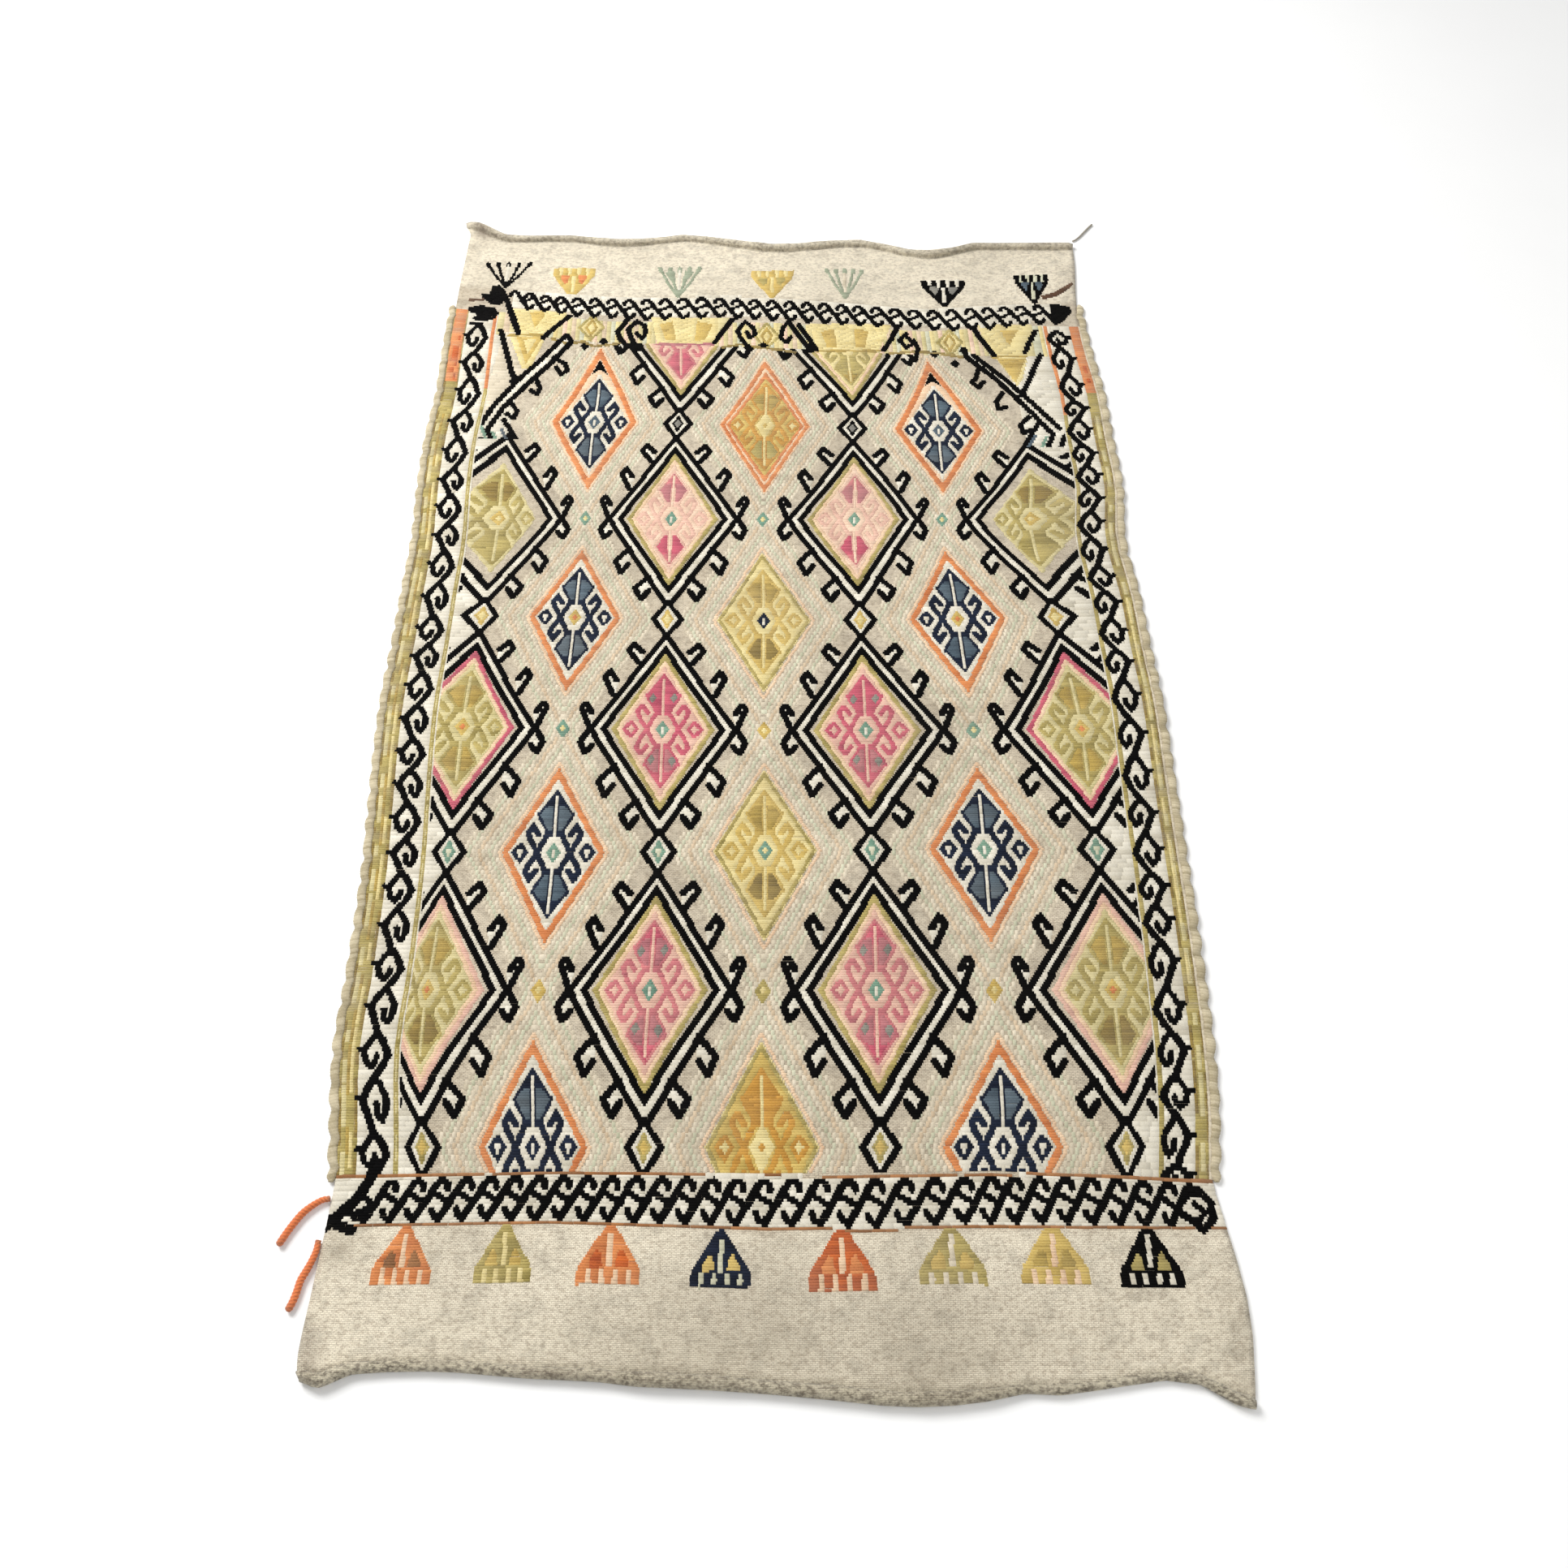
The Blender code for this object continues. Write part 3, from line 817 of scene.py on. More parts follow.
@dataclass
class Field:
    """The field's diamonds, their hooks and the faint lines between them."""
    brush: Brush
    black: float = 8.2
    outer: Diamond = (85.0, (138.0, 145.0))
    inner: Diamond = (70.2, (117.0, 117.0))
    coloured: Diamond = (57.3, 106.0)
    inside: Diamond = (49.5, 92.0)
    small: tuple[float, float] = (54.0, 103.0)
    knot: Diamond = (17.5, 26.5)
    hook_width: float = 7.5
    side_place: float = 37.5
    spine_reach: float = 74.0
    echo: tuple[float, float, float] = (7.0, 5.9, 3.3)
    echo_dyes: tuple[Dye, ...] = (Dye.PEACH, Dye.IVORY, Dye.CELADON, Dye.IVORY, Dye.SAND,
                                  Dye.IVORY, Dye.CELADON, Dye.IVORY)
    knot_dyes: tuple[tuple[Dye, Dye], ...] = ((Dye.OLIVE, Dye.YELLOW), (Dye.GREEN, Dye.CELADON),
                                              (Dye.YELLOW, Dye.STRAW), (Dye.BLACK, Dye.GREY))
    lozenge_dyes: tuple[tuple[Dye, ...], ...] = (
        (Dye.YELLOW, Dye.OLIVE, Dye.YELLOW), (Dye.GREEN, Dye.YELLOW, Dye.GREEN),
        (Dye.GREEN,) * 3, (Dye.GREEN,) * 3)
    spots: Points = ((-13, 44), (13, 46), (-12, -42), (12, -44))
    tall_rings: tuple[Diamond, ...] = ((63, (148, 122)), (59.5, (140, 116)), (51, (120, 99)),
                                       (49.5, (115, 94)))
    double_rings: tuple[Diamond, ...] = ((62, (132, 122)), (60, (126, 118)), (54.5, (112, 107)),
                                         (52, (103, 101)))
    arrow: Points = ((-12, 88), (0, 118), (12, 88), (0, 98))
    petal: Points = ((0, 82), (22, 48), (8, 21), (0, 21))
    leaf: Points = ((0, 78), (17, 50), (3, 52), (0, 56))
    heart: Points = ((3, 60), (11, 58), (18, 48), (8, 28), (3, 28))
    arm: Points = ((7.5, 24), (18.5, 0), (27, 16), (30, 25), (25, 34), (18, 23))
    hooks: tuple[Points, ...] = (((-61, 49), (-72, 74), (-66, 84), (-58, 70)), ((-32, 96), (-46,
        115), (-40, 125), (-29, 113)), ((-54, -50), (-72, -72), (-64, -90), (-55, -77)), ((-27,
        -97), (-44, -116), (-35, -133), (-26, -119)), ((-86, 0), (-97, 30), (-92, 36), (-85, 23)),
        ((-86, 0), (-96, -18), (-90, -33), (-82, -23)),)
    golden: tuple[Palette, ...] = (
        Palette.of("YELLOW GOLD GOLD GOLD OLIVE STRAW STRAW GOLD OLIVE"),
        Palette.of("STRAW YELLOW YELLOW MUSTARD DARK_OLIVE STRAW GREEN STRAW OLIVE"),
        Palette.of("STRAW YELLOW YELLOW MUSTARD DARK_OLIVE STRAW NAVY WHITE OLIVE"),
        Palette.of("YELLOW GOLD GOLD MUSTARD OLIVE STRAW STRAW YELLOW ORANGE"))
    navy: tuple[Palette, ...] = tuple(
        Palette.of(f"WHITE NAVY NAVY SLATE SLATE WHITE {middle} ORANGE", 6.8, 2.4)
        for middle in ("NAVY WHITE", "GREEN WHITE", "YELLOW ORANGE", "SLATE WHITE"))
    green: tuple[Palette, ...] = (
        Palette.of("PISTACHIO OLIVE OLIVE MUSTARD DARK_OLIVE PISTACHIO YELLOW ORANGE PALE_PINK"),
        Palette.of("PISTACHIO OLIVE OLIVE MUSTARD MUSTARD PISTACHIO YELLOW ORANGE PINK"),
        Palette.of("PISTACHIO OLIVE OLIVE DARK_OLIVE OLIVE PISTACHIO YELLOW STRAW GROUND"))
    pink: tuple[Palette, ...] = tuple(
        Palette.of(f"{words} GREEN WHITE OLIVE", 5.4)
        for words in ("PALE_PINK DUSTY PINK ROSE ROSE PALE_PINK",
                      "PALE_PINK PINK PINK PINK ROSE PALE_PINK",
                      "BLUSH PALE_PINK DUSTY ROSE PINK BLUSH",
                      "PALE_PINK DUSTY PINK ROSE PINK PALE_PINK"))
    odd: Palette = Palette.of("STRAW OLIVE MUSTARD DARK_OLIVE OLIVE STRAW GREEN WHITE OLIVE")

    def weave(self) -> None:
        """Fills the whole field, from the faint lines up to the hooks."""
        for x0 in (MAIN_COLUMNS[0] - COLUMN_PITCH / 2, MAIN_COLUMNS[3] + COLUMN_PITCH / 2):
            self.brush.box(x0 - COLUMN_PITCH / 2, BAND_TOP, x0 + COLUMN_PITCH / 2, SEAM, Dye.WHITE)
        for paint, rows, columns in ((self.echoes, BETWEEN_ROWS, BETWEEN_COLUMNS),
                                     (self.small_diamond, BETWEEN_ROWS, BETWEEN_COLUMNS),
                                     (self.large_diamond, MAIN_ROWS, MAIN_COLUMNS),
                                     (self.knotted, BETWEEN_ROWS, MAIN_COLUMNS),
                                     (self.lozenge, MAIN_ROWS, BETWEEN_COLUMNS)):
            for (j, y), (i, x) in product(enumerate(rows), enumerate(columns)):
                if j < 3 or i in (1, 2) or columns is BETWEEN_COLUMNS:
                    paint(Spot(x, y, i, j))

    def echoes(self, spot: Spot) -> None:
        """Fills the faint lines that run round a small diamond.

        Args:
            spot: Where it stands.
        """
        (half, rise), (first, step, width) = self.small, self.echo
        brush, kept = self.brush, self.brush.inside
        brush.inside = kept & (np.abs(brush.chart.chart_y - spot.y) < ROW_PITCH)
        for k, dye in enumerate(self.echo_dyes):
            reach = half + first + step * k
            brush.diamond(spot.x, spot.y, reach, rise * reach / half, dye, width)
        brush.inside = kept

    def motif(self, spot: Spot, palette: Palette) -> None:
        """Fills a diamond's inside: two leaves, hooked arms, side diamonds and a middle.

        Args:
            spot: Where it stands.
            palette: Its dyes.
        """
        brush, x, y = self.brush, spot.x, spot.y
        for up, side in product((1, -1), (1, -1)):
            petal, leaf, heart, arm = (moved(points, x, y, side, up) for points in
                                       (self.petal, self.leaf, self.heart, self.arm))
            brush.patch(petal, palette.line)
            brush.patch(leaf, palette.leaf)
            brush.patch(heart, palette.heart if up > 0 else palette.low_heart)
            brush.stroke(arm, palette.width, palette.line)
        half, reach = palette.spine_half, self.spine_reach
        brush.box(x - half, y - reach, x + half, y + reach, palette.spine)
        brush.nest(x, y, (13, 24, palette.spine), (8.6, 14.5, palette.middle),
                   (3.2, 5.6, palette.core))
        for side in (1, -1):
            brush.nest(x + side * self.side_place, y, (10.2, 14, palette.line),
                       (4.4, 6.6, palette.spine))

    def small_diamond(self, spot: Spot) -> None:
        """Fills one of the small diamonds between the main columns.

        Args:
            spot: Where it stands.
        """
        brush, (x, y, i, j) = self.brush, spot
        half, rise = self.small
        palette = self.golden[j] if i == 1 else self.navy[j]
        margin = Dye.PEACH if palette.ring is Dye.ORANGE else Dye.STRAW
        if j == 3:
            rings, last = ((self.double_rings, palette.ring) if i == 1
                           else (self.tall_rings, margin))
            for ring, dye in zip(rings, (margin, palette.ring, margin, last)):
                brush.diamond(x, y, *ring, dye)
            brush.diamond(x, y, half - 6, rise - 12, palette.ground)
            if i != 1:
                brush.patch(moved(self.arrow, x, y), Dye.BLACK)
        else:
            brush.nest(x, y, (half + 3, rise * (half + 3) / half, margin),
                       (half - 1, rise - 2, palette.ground),
                       (half, rise, palette.ring, 4.2 if i == 1 else 7.5))
        self.motif(spot, palette)

    def large_diamond(self, spot: Spot) -> None:
        """Fills one of the large hooked diamonds.

        Args:
            spot: Where it stands.
        """
        brush, (x, y, i, j) = self.brush, spot
        palette = self.green[j] if i in (0, 3) else self.odd if (i, j) == (2, 3) else self.pink[j]
        brush.nest(x, y, (*self.outer, Dye.WHITE), (*self.inner, Dye.GROUND))
        self.hooked(spot)
        brush.nest(x, y, (*self.coloured, Dye.PEACH if palette.ring else Dye.GROUND),
                   (*self.inside, palette.ground))
        if palette.ring:
            brush.diamond(x, y, *self.coloured, palette.ring, 5.6)
        self.motif(spot, palette)
        if j < 2 and i in (1, 2):
            for across, along in self.spots:
                brush.diamond(x + across, y + along, 4.8, 7.4, Dye.GREY)
        brush.nest(x, y, (*self.outer, Dye.BLACK, self.black),
                   (*self.inner, Dye.BLACK, self.black))

    def hooked(self, spot: Spot) -> None:
        """Fills the hooks outside a large diamond.

        Args:
            spot: Where it stands.
        """
        for side in (-1, 1):
            hooks = [moved(hook, spot.x, spot.y, side) for hook in self.hooks]
            for line in hooks:
                self.brush.patch(line, Dye.WHITE)
                self.brush.stroke([line[0], line[3]], 5.0, Dye.WHITE)
            for line in hooks:
                self.brush.stroke(line, self.hook_width)

    def knotted(self, spot: Spot) -> None:
        """Fills the small knot where the lines of two large diamonds cross."""
        ring, core = self.knot_dyes[spot.row]
        self.brush.nest(spot.x, spot.y, (*self.knot, Dye.WHITE), (8.2, 15.5, ring),
                        (4.4, 8.0, core), (*self.knot, Dye.BLACK, 7.2))

    def lozenge(self, spot: Spot) -> None:
        """Fills a small lozenge between facing corner hooks."""
        dye = self.lozenge_dyes[spot.row][spot.column]
        self.brush.nest(spot.x, spot.y, (12, 20, Dye.IVORY), (9, 14.5, dye), (2.6, 5.0, Dye.STRAW))


class Strip(NamedTuple):
    """An upright strip of a side: its sides from the rug's edge, its ends, dye and breaks."""
    near: float
    far: float
    low: float
    high: float
    dye: Dye
    pitch: float = 0.0


class Knot(NamedTuple):
    """A measured hook of a band: its number, where its foot stands, and its top's height."""
    hook: int
    x: float
    foot: float
    top: float


class Band(NamedTuple):
    """A band of hooks: its lean, its yarns' weight, how far its ground runs on, its knots."""
    lean: int
    weight: float
    before: float
    after: float
    knots: tuple[Knot, ...]


class Yarn(NamedTuple):
    """A line of the pattern: its width and its points."""
    width: float
    points: Points


@dataclass
class Borders:
    """The narrow hook bands at both ends and the hooked chains along both sides."""
    chart: Chart
    margin: float = 3.0
    shortest: float = 21.0
    chain_places: tuple[float, float] = (36.5, 35.0)
    bands: tuple[Band, ...] = (Band(1, 0.90, 60, 60, (Knot(0, -389.2, -649.3, -607.5), Knot(5,
        -271.4, -646.1, -603.2), Knot(10, -153.5, -647.2, -604.3), Knot(15, -31.4, -651.5, -606.4),
        Knot(20, 103.6, -653.6, -606.4), Knot(23, 189.3, -649.3, -604.3), Knot(27, 287.9, -649.3,
        -605.4), Knot(31, 387.5, -652.5, -611.8))), Band(-1, 0.80, 24, 12, (Knot(0, -343.2, 634.2,
        675.0), Knot(3, -274.6, 622.5, 662.1), Knot(7, -177.1, 615.0, 656.8), Knot(11, -75.3, 619.3,
        660.0), Knot(15, 23.3, 610.7, 651.4), Knot(20, 144.3, 601.0, 641.7), Knot(24, 249.3, 592.5,
        634.3), Knot(26, 299.7, 592.5, 637.5), Knot(29, 369.3, 603.2, 641.7), Knot(30, 391.8, 605.3,
        643.9))))
    hook: tuple[Yarn, ...] = (Yarn(8.6, ((0.0, 0.04), (0.40, 0.42), (0.80, 0.84))), Yarn(7.8,
        ((0.80, 0.84), (0.94, 0.94), (1.12, 0.94), (1.26, 0.86), (1.28, 0.76))), Yarn(7.2, ((0.0,
        0.05), (-0.20, 0.12), (-0.30, 0.26))), Yarn(7.2, ((0.36, 0.42), (-0.30, 0.66))))
    joints: tuple[tuple[int, ...], tuple[int, ...]] = ((606, 550, 502, 438, 390, 331, 287, 237, 194,
        142, 92, 46, 6, -42, -90, -133, -176, -224, -265, -310, -358, -403, -454, -502, -561, -604),
        (590, 558, 507, 456, 424, 376, 338, 296, 258, 215, 170, 130, 87, 38, -5, -63, -111, -170,
        -215, -266, -306, -350, -403, -452, -500, -543, -594, -615))
    links: tuple[tuple[Yarn, ...], tuple[Yarn, ...]] = ((Yarn(7.8, ((0, 0), (-7, 0.20), (-13, 0.50),
        (-7, 0.78), (0, 1))), Yarn(6.8, ((0, 0), (6, 0.16), (12, 0.40), (10, 0.64), (4, 0.77), (0,
        0.66), (-1, 0.52))), Yarn(5.8, ((12, 0.40), (17, 0.36)))), (Yarn(7.8, ((0, 0), (7, 0.20),
        (12, 0.42), (6, 0.70), (1, 1))), Yarn(6.8, ((0, 0), (-6, 0.14), (-12, 0.38), (-12, 0.58),
        (-8, 0.77), (-3, 0.66), (-2, 0.48))), Yarn(5.8, ((12, 0.40), (17, 0.37)))))
    dashes: tuple[float, ...] = (0.45, 0.95, 0.6, 0.3, 0.8)
    tails: tuple[Yarn, ...] = (Yarn(11.0, ((-429, -656), (-418, -646), (-405, -633), (-395, -620),
        (-388, -604), (-387, -590))), Yarn(10.0, ((-400, -656), (-414, -651), (-422, -646))),
        Yarn(6.5, ((-410, -633), (-402, -640), (-398, -646), (-392, -640), (-386, -633))), Yarn(8.0,
        ((396, -633), (407, -621), (417, -618), (427, -629), (428, -646), (417, -656), (409, -648),
        (400, -642))), Yarn(6.0, ((412, -631), (421, -640), (414, -646))), Yarn(8.0, ((-384, 676),
        (-375, 657), (-369, 638), (-364, 619), (-357, 599), (-352, 585))), Yarn(5.0, ((-421, 609),
        (-405, 606))))
    strips: tuple[tuple[Strip, ...], tuple[Strip, ...]] = ((Strip(0, 20, -12, 1206, Dye.OLIVE),
        Strip(4, 8, 4, 1070, Dye.PISTACHIO, 43), Strip(12, 15, 10, 1070, Dye.STRAW, 71), Strip(0, 3,
        0, 1206, Dye.DARK_OLIVE, 29), Strip(8, 12, 20, 1060, Dye.MUSTARD, 57), Strip(17, 20, 0,
        1206, Dye.DARK_OLIVE, 37), Strip(55, 61, 0, 1067, Dye.OLIVE), Strip(57, 59, 0, 1067,
        Dye.PISTACHIO, 15), Strip(2.2, 18, 1077, 1206, Dye.ORANGE), Strip(6, 12, 1095, 1150,
        Dye.RUST, 17), Strip(12, 15, 1080, 1190, Dye.RUST, 23), Strip(55, 60, 1067, 1206,
        Dye.ORANGE)), (Strip(0, 3, 0, 1206, Dye.IVORY), Strip(3, 17, 0, 1206, Dye.OLIVE), Strip(6,
        12, 10, 1080, Dye.PISTACHIO, 47), Strip(9, 11, 200, 760, Dye.STRAW, 67), Strip(3, 5, 0,
        1080, Dye.DARK_OLIVE, 31), Strip(13, 16, 0, 1080, Dye.DARK_OLIVE, 59), Strip(48, 53, 0,
        1043, Dye.OLIVE), Strip(3, 17, 1089, 1206, Dye.ORANGE), Strip(6, 12, 1110, 1160, Dye.RUST,
        17), Strip(48, 53, 1043, 1206, Dye.ORANGE)))

    def weave(self) -> None:
        """Fills the side zones first, then the two bands."""
        for side in (0, 1):
            self.side_zone(side)
            self.chain(side)
        whole = Brush(self.chart, Space.PLAN, self.chart.box)
        for band in self.bands:
            self.band(whole, band)
        for width, points in self.tails:
            whole.stroke(points, width)

    def side_zone(self, side: int) -> None:
        """Fills one side's white ground and its strips.

        Args:
            side: 0 for the left side and 1 for the right.
        """
        brush = Brush(self.chart, Space.CHART, (0, BAND_TOP - 12, CHART_WIDTH, UPPER_BAND_BOTTOM))
        ground = Strip(0, SIDE_ZONES[side], BAND_TOP, UPPER_BAND_BOTTOM, Dye.WHITE)
        for strip in (ground, *self.strips[side]):
            near, far = strip.near, strip.far
            if side:
                near, far = CHART_WIDTH - far, CHART_WIDTH - near
            if not strip.pitch:
                brush.box(near, strip.low, far, strip.high, strip.dye)
                continue
            for k in range(int((strip.high - strip.low) / strip.pitch)):
                low = strip.low + k * strip.pitch
                reach = strip.pitch * self.dashes[k % len(self.dashes)]
                brush.box(near, low, far, low + reach, strip.dye)

    def chain(self, side: int) -> None:
        """Fills one side's hooked chain: links whose main line leans in and out by turns.

        Args:
            side: 0 for the left side and 1 for the right.
        """
        brush = Brush(self.chart, Space.SIDE, (0, BAND_TOP, CHART_WIDTH, UPPER_BAND_BOTTOM))
        outward = 1 if side else -1
        middle = CHART_WIDTH - self.chain_places[1] if side else self.chain_places[0]
        joints = self.joints[side]
        for k, (top, bottom) in enumerate(zip(joints, joints[1:])):
            for width, line in self.links[k % 2]:
                brush.stroke(moved(line, middle, top, outward, bottom - top), width)

    def band(self, brush: Brush, band: Band) -> None:
        """Fills a band of hooks.

        Args:
            brush: The brush, in plan.
            band: The band.
        """
        hooks, xs, feet, tops = zip(*band.knots)
        reach = [xs[0] - band.before, *xs[1:-1], xs[-1] + band.after]
        below = self.margin if band.lean > 0 else -2 * self.margin
        upper, lower = moved(zip(reach, tops), 0, self.margin), moved(zip(reach, feet), 0, -below)
        brush.patch([*upper, *lower[::-1]], Dye.WHITE)
        for number in range(hooks[-1] + 1):
            x, foot, top = (float(np.interp(number, hooks, column)) for column in (xs, feet, tops))
            before, after = np.interp([number - 0.5, number + 0.5], hooks, xs)
            pitch = band.lean * max(after - before, self.shortest)
            for width, line in self.hook:
                brush.stroke(moved(line, x, foot, pitch, top - foot), width * band.weight)
        if band.lean > 0:
            for line in (upper, lower):
                brush.stroke(line, 2.4, Dye.BROWN)


@dataclass
class UpperZone:
    """The uneven strip between the field and the upper band, woven out of step with both."""
    chart: Chart
    line: float = 8.0
    hook: float = 7.0
    thread: float = 4.4
    oval: tuple[float, float] = (17.0, 24.0)
    notch: tuple[float, float] = (7.0, 8.0)
    streak: float = 6.6
    streaks: tuple[Dye, ...] = (Dye.PISTACHIO, Dye.SAND, Dye.PISTACHIO, Dye.CELADON, Dye.STRAW,
                                Dye.PISTACHIO, Dye.BLUSH)
    patches: Dyed = ((Dye.IVORY, (((-372, 590), (-352, 590), (-330, 510), (-380, 425), (-392,
        425)),)), (Dye.STRAW, (((-365, 640), (-292, 636), (-287, 622), (-314, 576), (-330, 520),
        (-341, 517), (-362, 575), (-352, 590)), ((-170, 620), (-50, 620), (-77, 567), (-160, 567)),
        ((50, 606), (164, 606), (145, 552), (60, 552)), ((280, 604), (360, 600), (351, 560), (339,
        500), (329, 485), (304, 541)))), (Dye.YELLOW, (((-354, 578), (-317, 578), (-337, 527)),
        ((-340, 628), (-330, 596), (-318, 622), (-322, 632)), ((-158, 606), (-140, 612), (-134,
        574), (-148, 574)), ((-106, 612), (-84, 606), (-94, 574), (-108, 574)), ((66, 590), (84,
        597), (88, 560), (74, 560)), ((112, 597), (132, 592), (126, 560), (114, 560)), ((306, 538),
        (346, 538), (328, 492)), ((314, 590), (324, 560), (338, 590)))), (Dye.STRAW, (((-344, 573),
        (-326, 573), (-336, 545)),)), (Dye.PISTACHIO, (((-78, 618), (-54, 618), (-76, 576)),)),
        (Dye.WHITE, (((-285, 583), (-314, 539), (-341, 502), (-371, 453), (-386, 415), (-377, 404),
        (-359, 446), (-329, 493), (-301, 532), (-278, 571)), ((261, 556), (265, 540), (302, 498),
        (336, 448), (368, 397), (379, 406), (351, 447), (314, 498), (274, 543)))))
    ovals: Points = ((-252, 599), (-9, 582), (243, 569))
    notches: Points = ((-259, 562), (-234, 572), (-210, 555), (-14, 564), (16, 545), (221, 547),
                       (248, 528), (261, 553), (-32, 558))
    lines: tuple[Points, ...] = (((-375, 665), (-367, 633), (-354, 594)), ((-284, 622), (-300, 600),
        (-317, 577)), ((-377, 592), (-370, 566), (-360, 531), (-353, 505), (-344, 496), (-354,
        494)), ((-285, 583), (-295, 568), (-314, 539), (-341, 502), (-371, 453), (-386, 415)),
        ((-285, 583), (-278, 571), (-301, 532), (-329, 493), (-359, 446), (-377, 404)), ((-200,
        627), (-207, 606), (-216, 592), (-212, 579), (-201, 561)), ((-190, 612), (-201, 596), (-195,
        576), (-185, 555)), ((-52, 625), (-64, 603), (-74, 583), (-81, 569)), ((24, 605), (39, 576),
        (52, 553)), ((36, 603), (48, 579), (59, 556)), ((173, 603), (163, 577), (152, 555)), ((275,
        599), (287, 572), (302, 543)), ((261, 556), (265, 540), (302, 498), (336, 448), (368, 397)),
        ((274, 543), (314, 498), (351, 447), (379, 406)), ((362, 589), (353, 569), (345, 549)),
        ((366, 544), (356, 521), (344, 490), (333, 467)))
    hooks: tuple[Points, ...] = (((-300, 539), (-283, 528), (-280, 515), (-287, 508), (-295, 522)),
        ((-322, 502), (-314, 483), (-317, 470), (-326, 477)), ((-352, 456), (-341, 438), (-344,
        425), (-354, 433)), ((-357, 422), (-345, 400), (-310, 330)), ((-378, 404), (-364, 372),
        (-352, 350)), ((-384, 386), (-372, 348)), ((-190, 612), (-179, 604), (-176, 589), (-181,
        577), (-189, 588)), ((-43, 574), (-50, 592), (-39, 610), (-28, 599), (-25, 586), (-32, 579),
        (-37, 590)), ((-41, 572), (-32, 558)), ((23, 612), (14, 599), (10, 580), (18, 569), (24,
        580)), ((184, 587), (174, 574), (183, 560), (193, 568), (186, 579)), ((194, 574), (199,
        558), (194, 535)), ((280, 521), (275, 502), (269, 492), (277, 482), (284, 493)), ((308,
        472), (299, 456), (301, 442), (311, 446)), ((340, 427), (328, 412), (331, 397), (340, 403)),
        ((352, 416), (328, 370), (312, 338)), ((370, 396), (352, 350)), ((384, 392), (372, 352)))
    threads: Dyed = ((Dye.GREEN, (((-370, 400), (-352, 358)), ((-386, 410), (-374, 378)), ((360,
        390), (344, 348)))), (Dye.SLATE, (((-358, 404), (-336, 352)), ((346, 392), (324, 350)))),
        (Dye.GREY, (((-380, 372), (-366, 340)), ((376, 366), (366, 338)))), (Dye.ROSE, (((-160,
        566), (-82, 566)),)), (Dye.MUSTARD, (((-365, 582), (-312, 582)), ((60, 553), (146, 553)),
        ((300, 541), (345, 541)))), (Dye.DARK_OLIVE, (((-305, 575), (-282, 566), (-262, 571), (-246,
        562), (-212, 568)), ((-70, 560), (-44, 566), (-22, 560), (8, 556), (30, 550)), ((160, 548),
        (196, 552), (230, 548), (262, 540)))))
    clumps: Dyed = ((Dye.BLACK, (((-399, 684), (-388, 686), (-380, 672), (-378, 655), (-384, 646),
        (-397, 648), (-410, 662), (-413, 670), (-400, 669)), ((-428, 641), (-410, 645), (-390, 640),
        (-383, 628), (-388, 616), (-404, 611), (-421, 617), (-413, 626), (-426, 632)), ((388, 646),
        (394, 648), (414, 642), (417, 632), (404, 612), (398, 606), (388, 622)))), (Dye.UMBER,
        (((-429, 654), (-407, 655), (-407, 659), (-429, 659)), ((378, 656), (398, 663), (414, 676),
        (424, 687), (423, 692), (408, 681), (396, 671), (377, 663)))))

    def weave(self) -> None:
        """Fills the zone from its pale ground up to its hooks."""
        left, right = SIDE_ZONES[0], CHART_WIDTH - SIDE_ZONES[1]
        flat = Brush(self.chart, Space.CHART, (left, SEAM, right, UPPER_BAND_BOTTOM))
        for k in range(round((right - left) / self.streak)):
            x = left + k * self.streak
            flat.box(x, SEAM, x + self.streak, UPPER_BAND_BOTTOM,
                     self.streaks[k % len(self.streaks)])
        brush = Brush(self.chart, Space.PLAN,
                      (left, BETWEEN_ROWS[3] - 30, right, UPPER_BAND_BOTTOM + 6))
        self.fill(brush, self.patches)
        half, rise = self.oval
        for x, y in self.ovals:
            brush.nest(x, y, (half, rise, Dye.STRAW), (half, rise, Dye.OLIVE, 5.0),
                       (half / 2.4, rise / 1.6, Dye.MUSTARD, 4.0))
        for x, y in self.notches:
            brush.diamond(x, y, *self.notch, Dye.BLACK)
        for dye, lines in self.threads:
            for points in lines:
                brush.stroke(points, self.thread, dye)
        for width, lines in ((self.line, self.lines), (self.hook, self.hooks)):
            for points in lines:
                brush.stroke(points, width)

    def finish_ends(self) -> None:
        """Fills the dark clumps and loose brown yarns at the upper band's two ends."""
        self.fill(Brush(self.chart, Space.PLAN, (0, SEAM, CHART_WIDTH, self.chart.top)),
                  self.clumps)

    @staticmethod
    def fill(brush: Brush, groups: Dyed) -> None:
        """Fills closed shapes.

        Args:
            brush: What fills them.
            groups: Each dye with its shapes.
        """
        for dye, shapes in groups:
            for points in shapes:
                brush.patch(points, dye)


class Build(Enum):
    """How a comb is woven: filled, or as thin lines that spread from its apex."""
    FILLED = "filled"
    SPREAD = "spread"


class Comb(NamedTuple):
    """A comb motif of a flap: its apex in plan, its size, its dyes and how it is woven."""
    x: float
    y: float
    half: float
    height: float
    leaf: Dye
    heart: Dye
    spine: Dye = Dye.IVORY
    build: Build = Build.FILLED

    def placed(self, points: Points, side: int = 1) -> list[Place]:
        """Points that are given in shares of its half width and its height."""
        return moved(points, self.x, self.y, side * self.half, self.height)


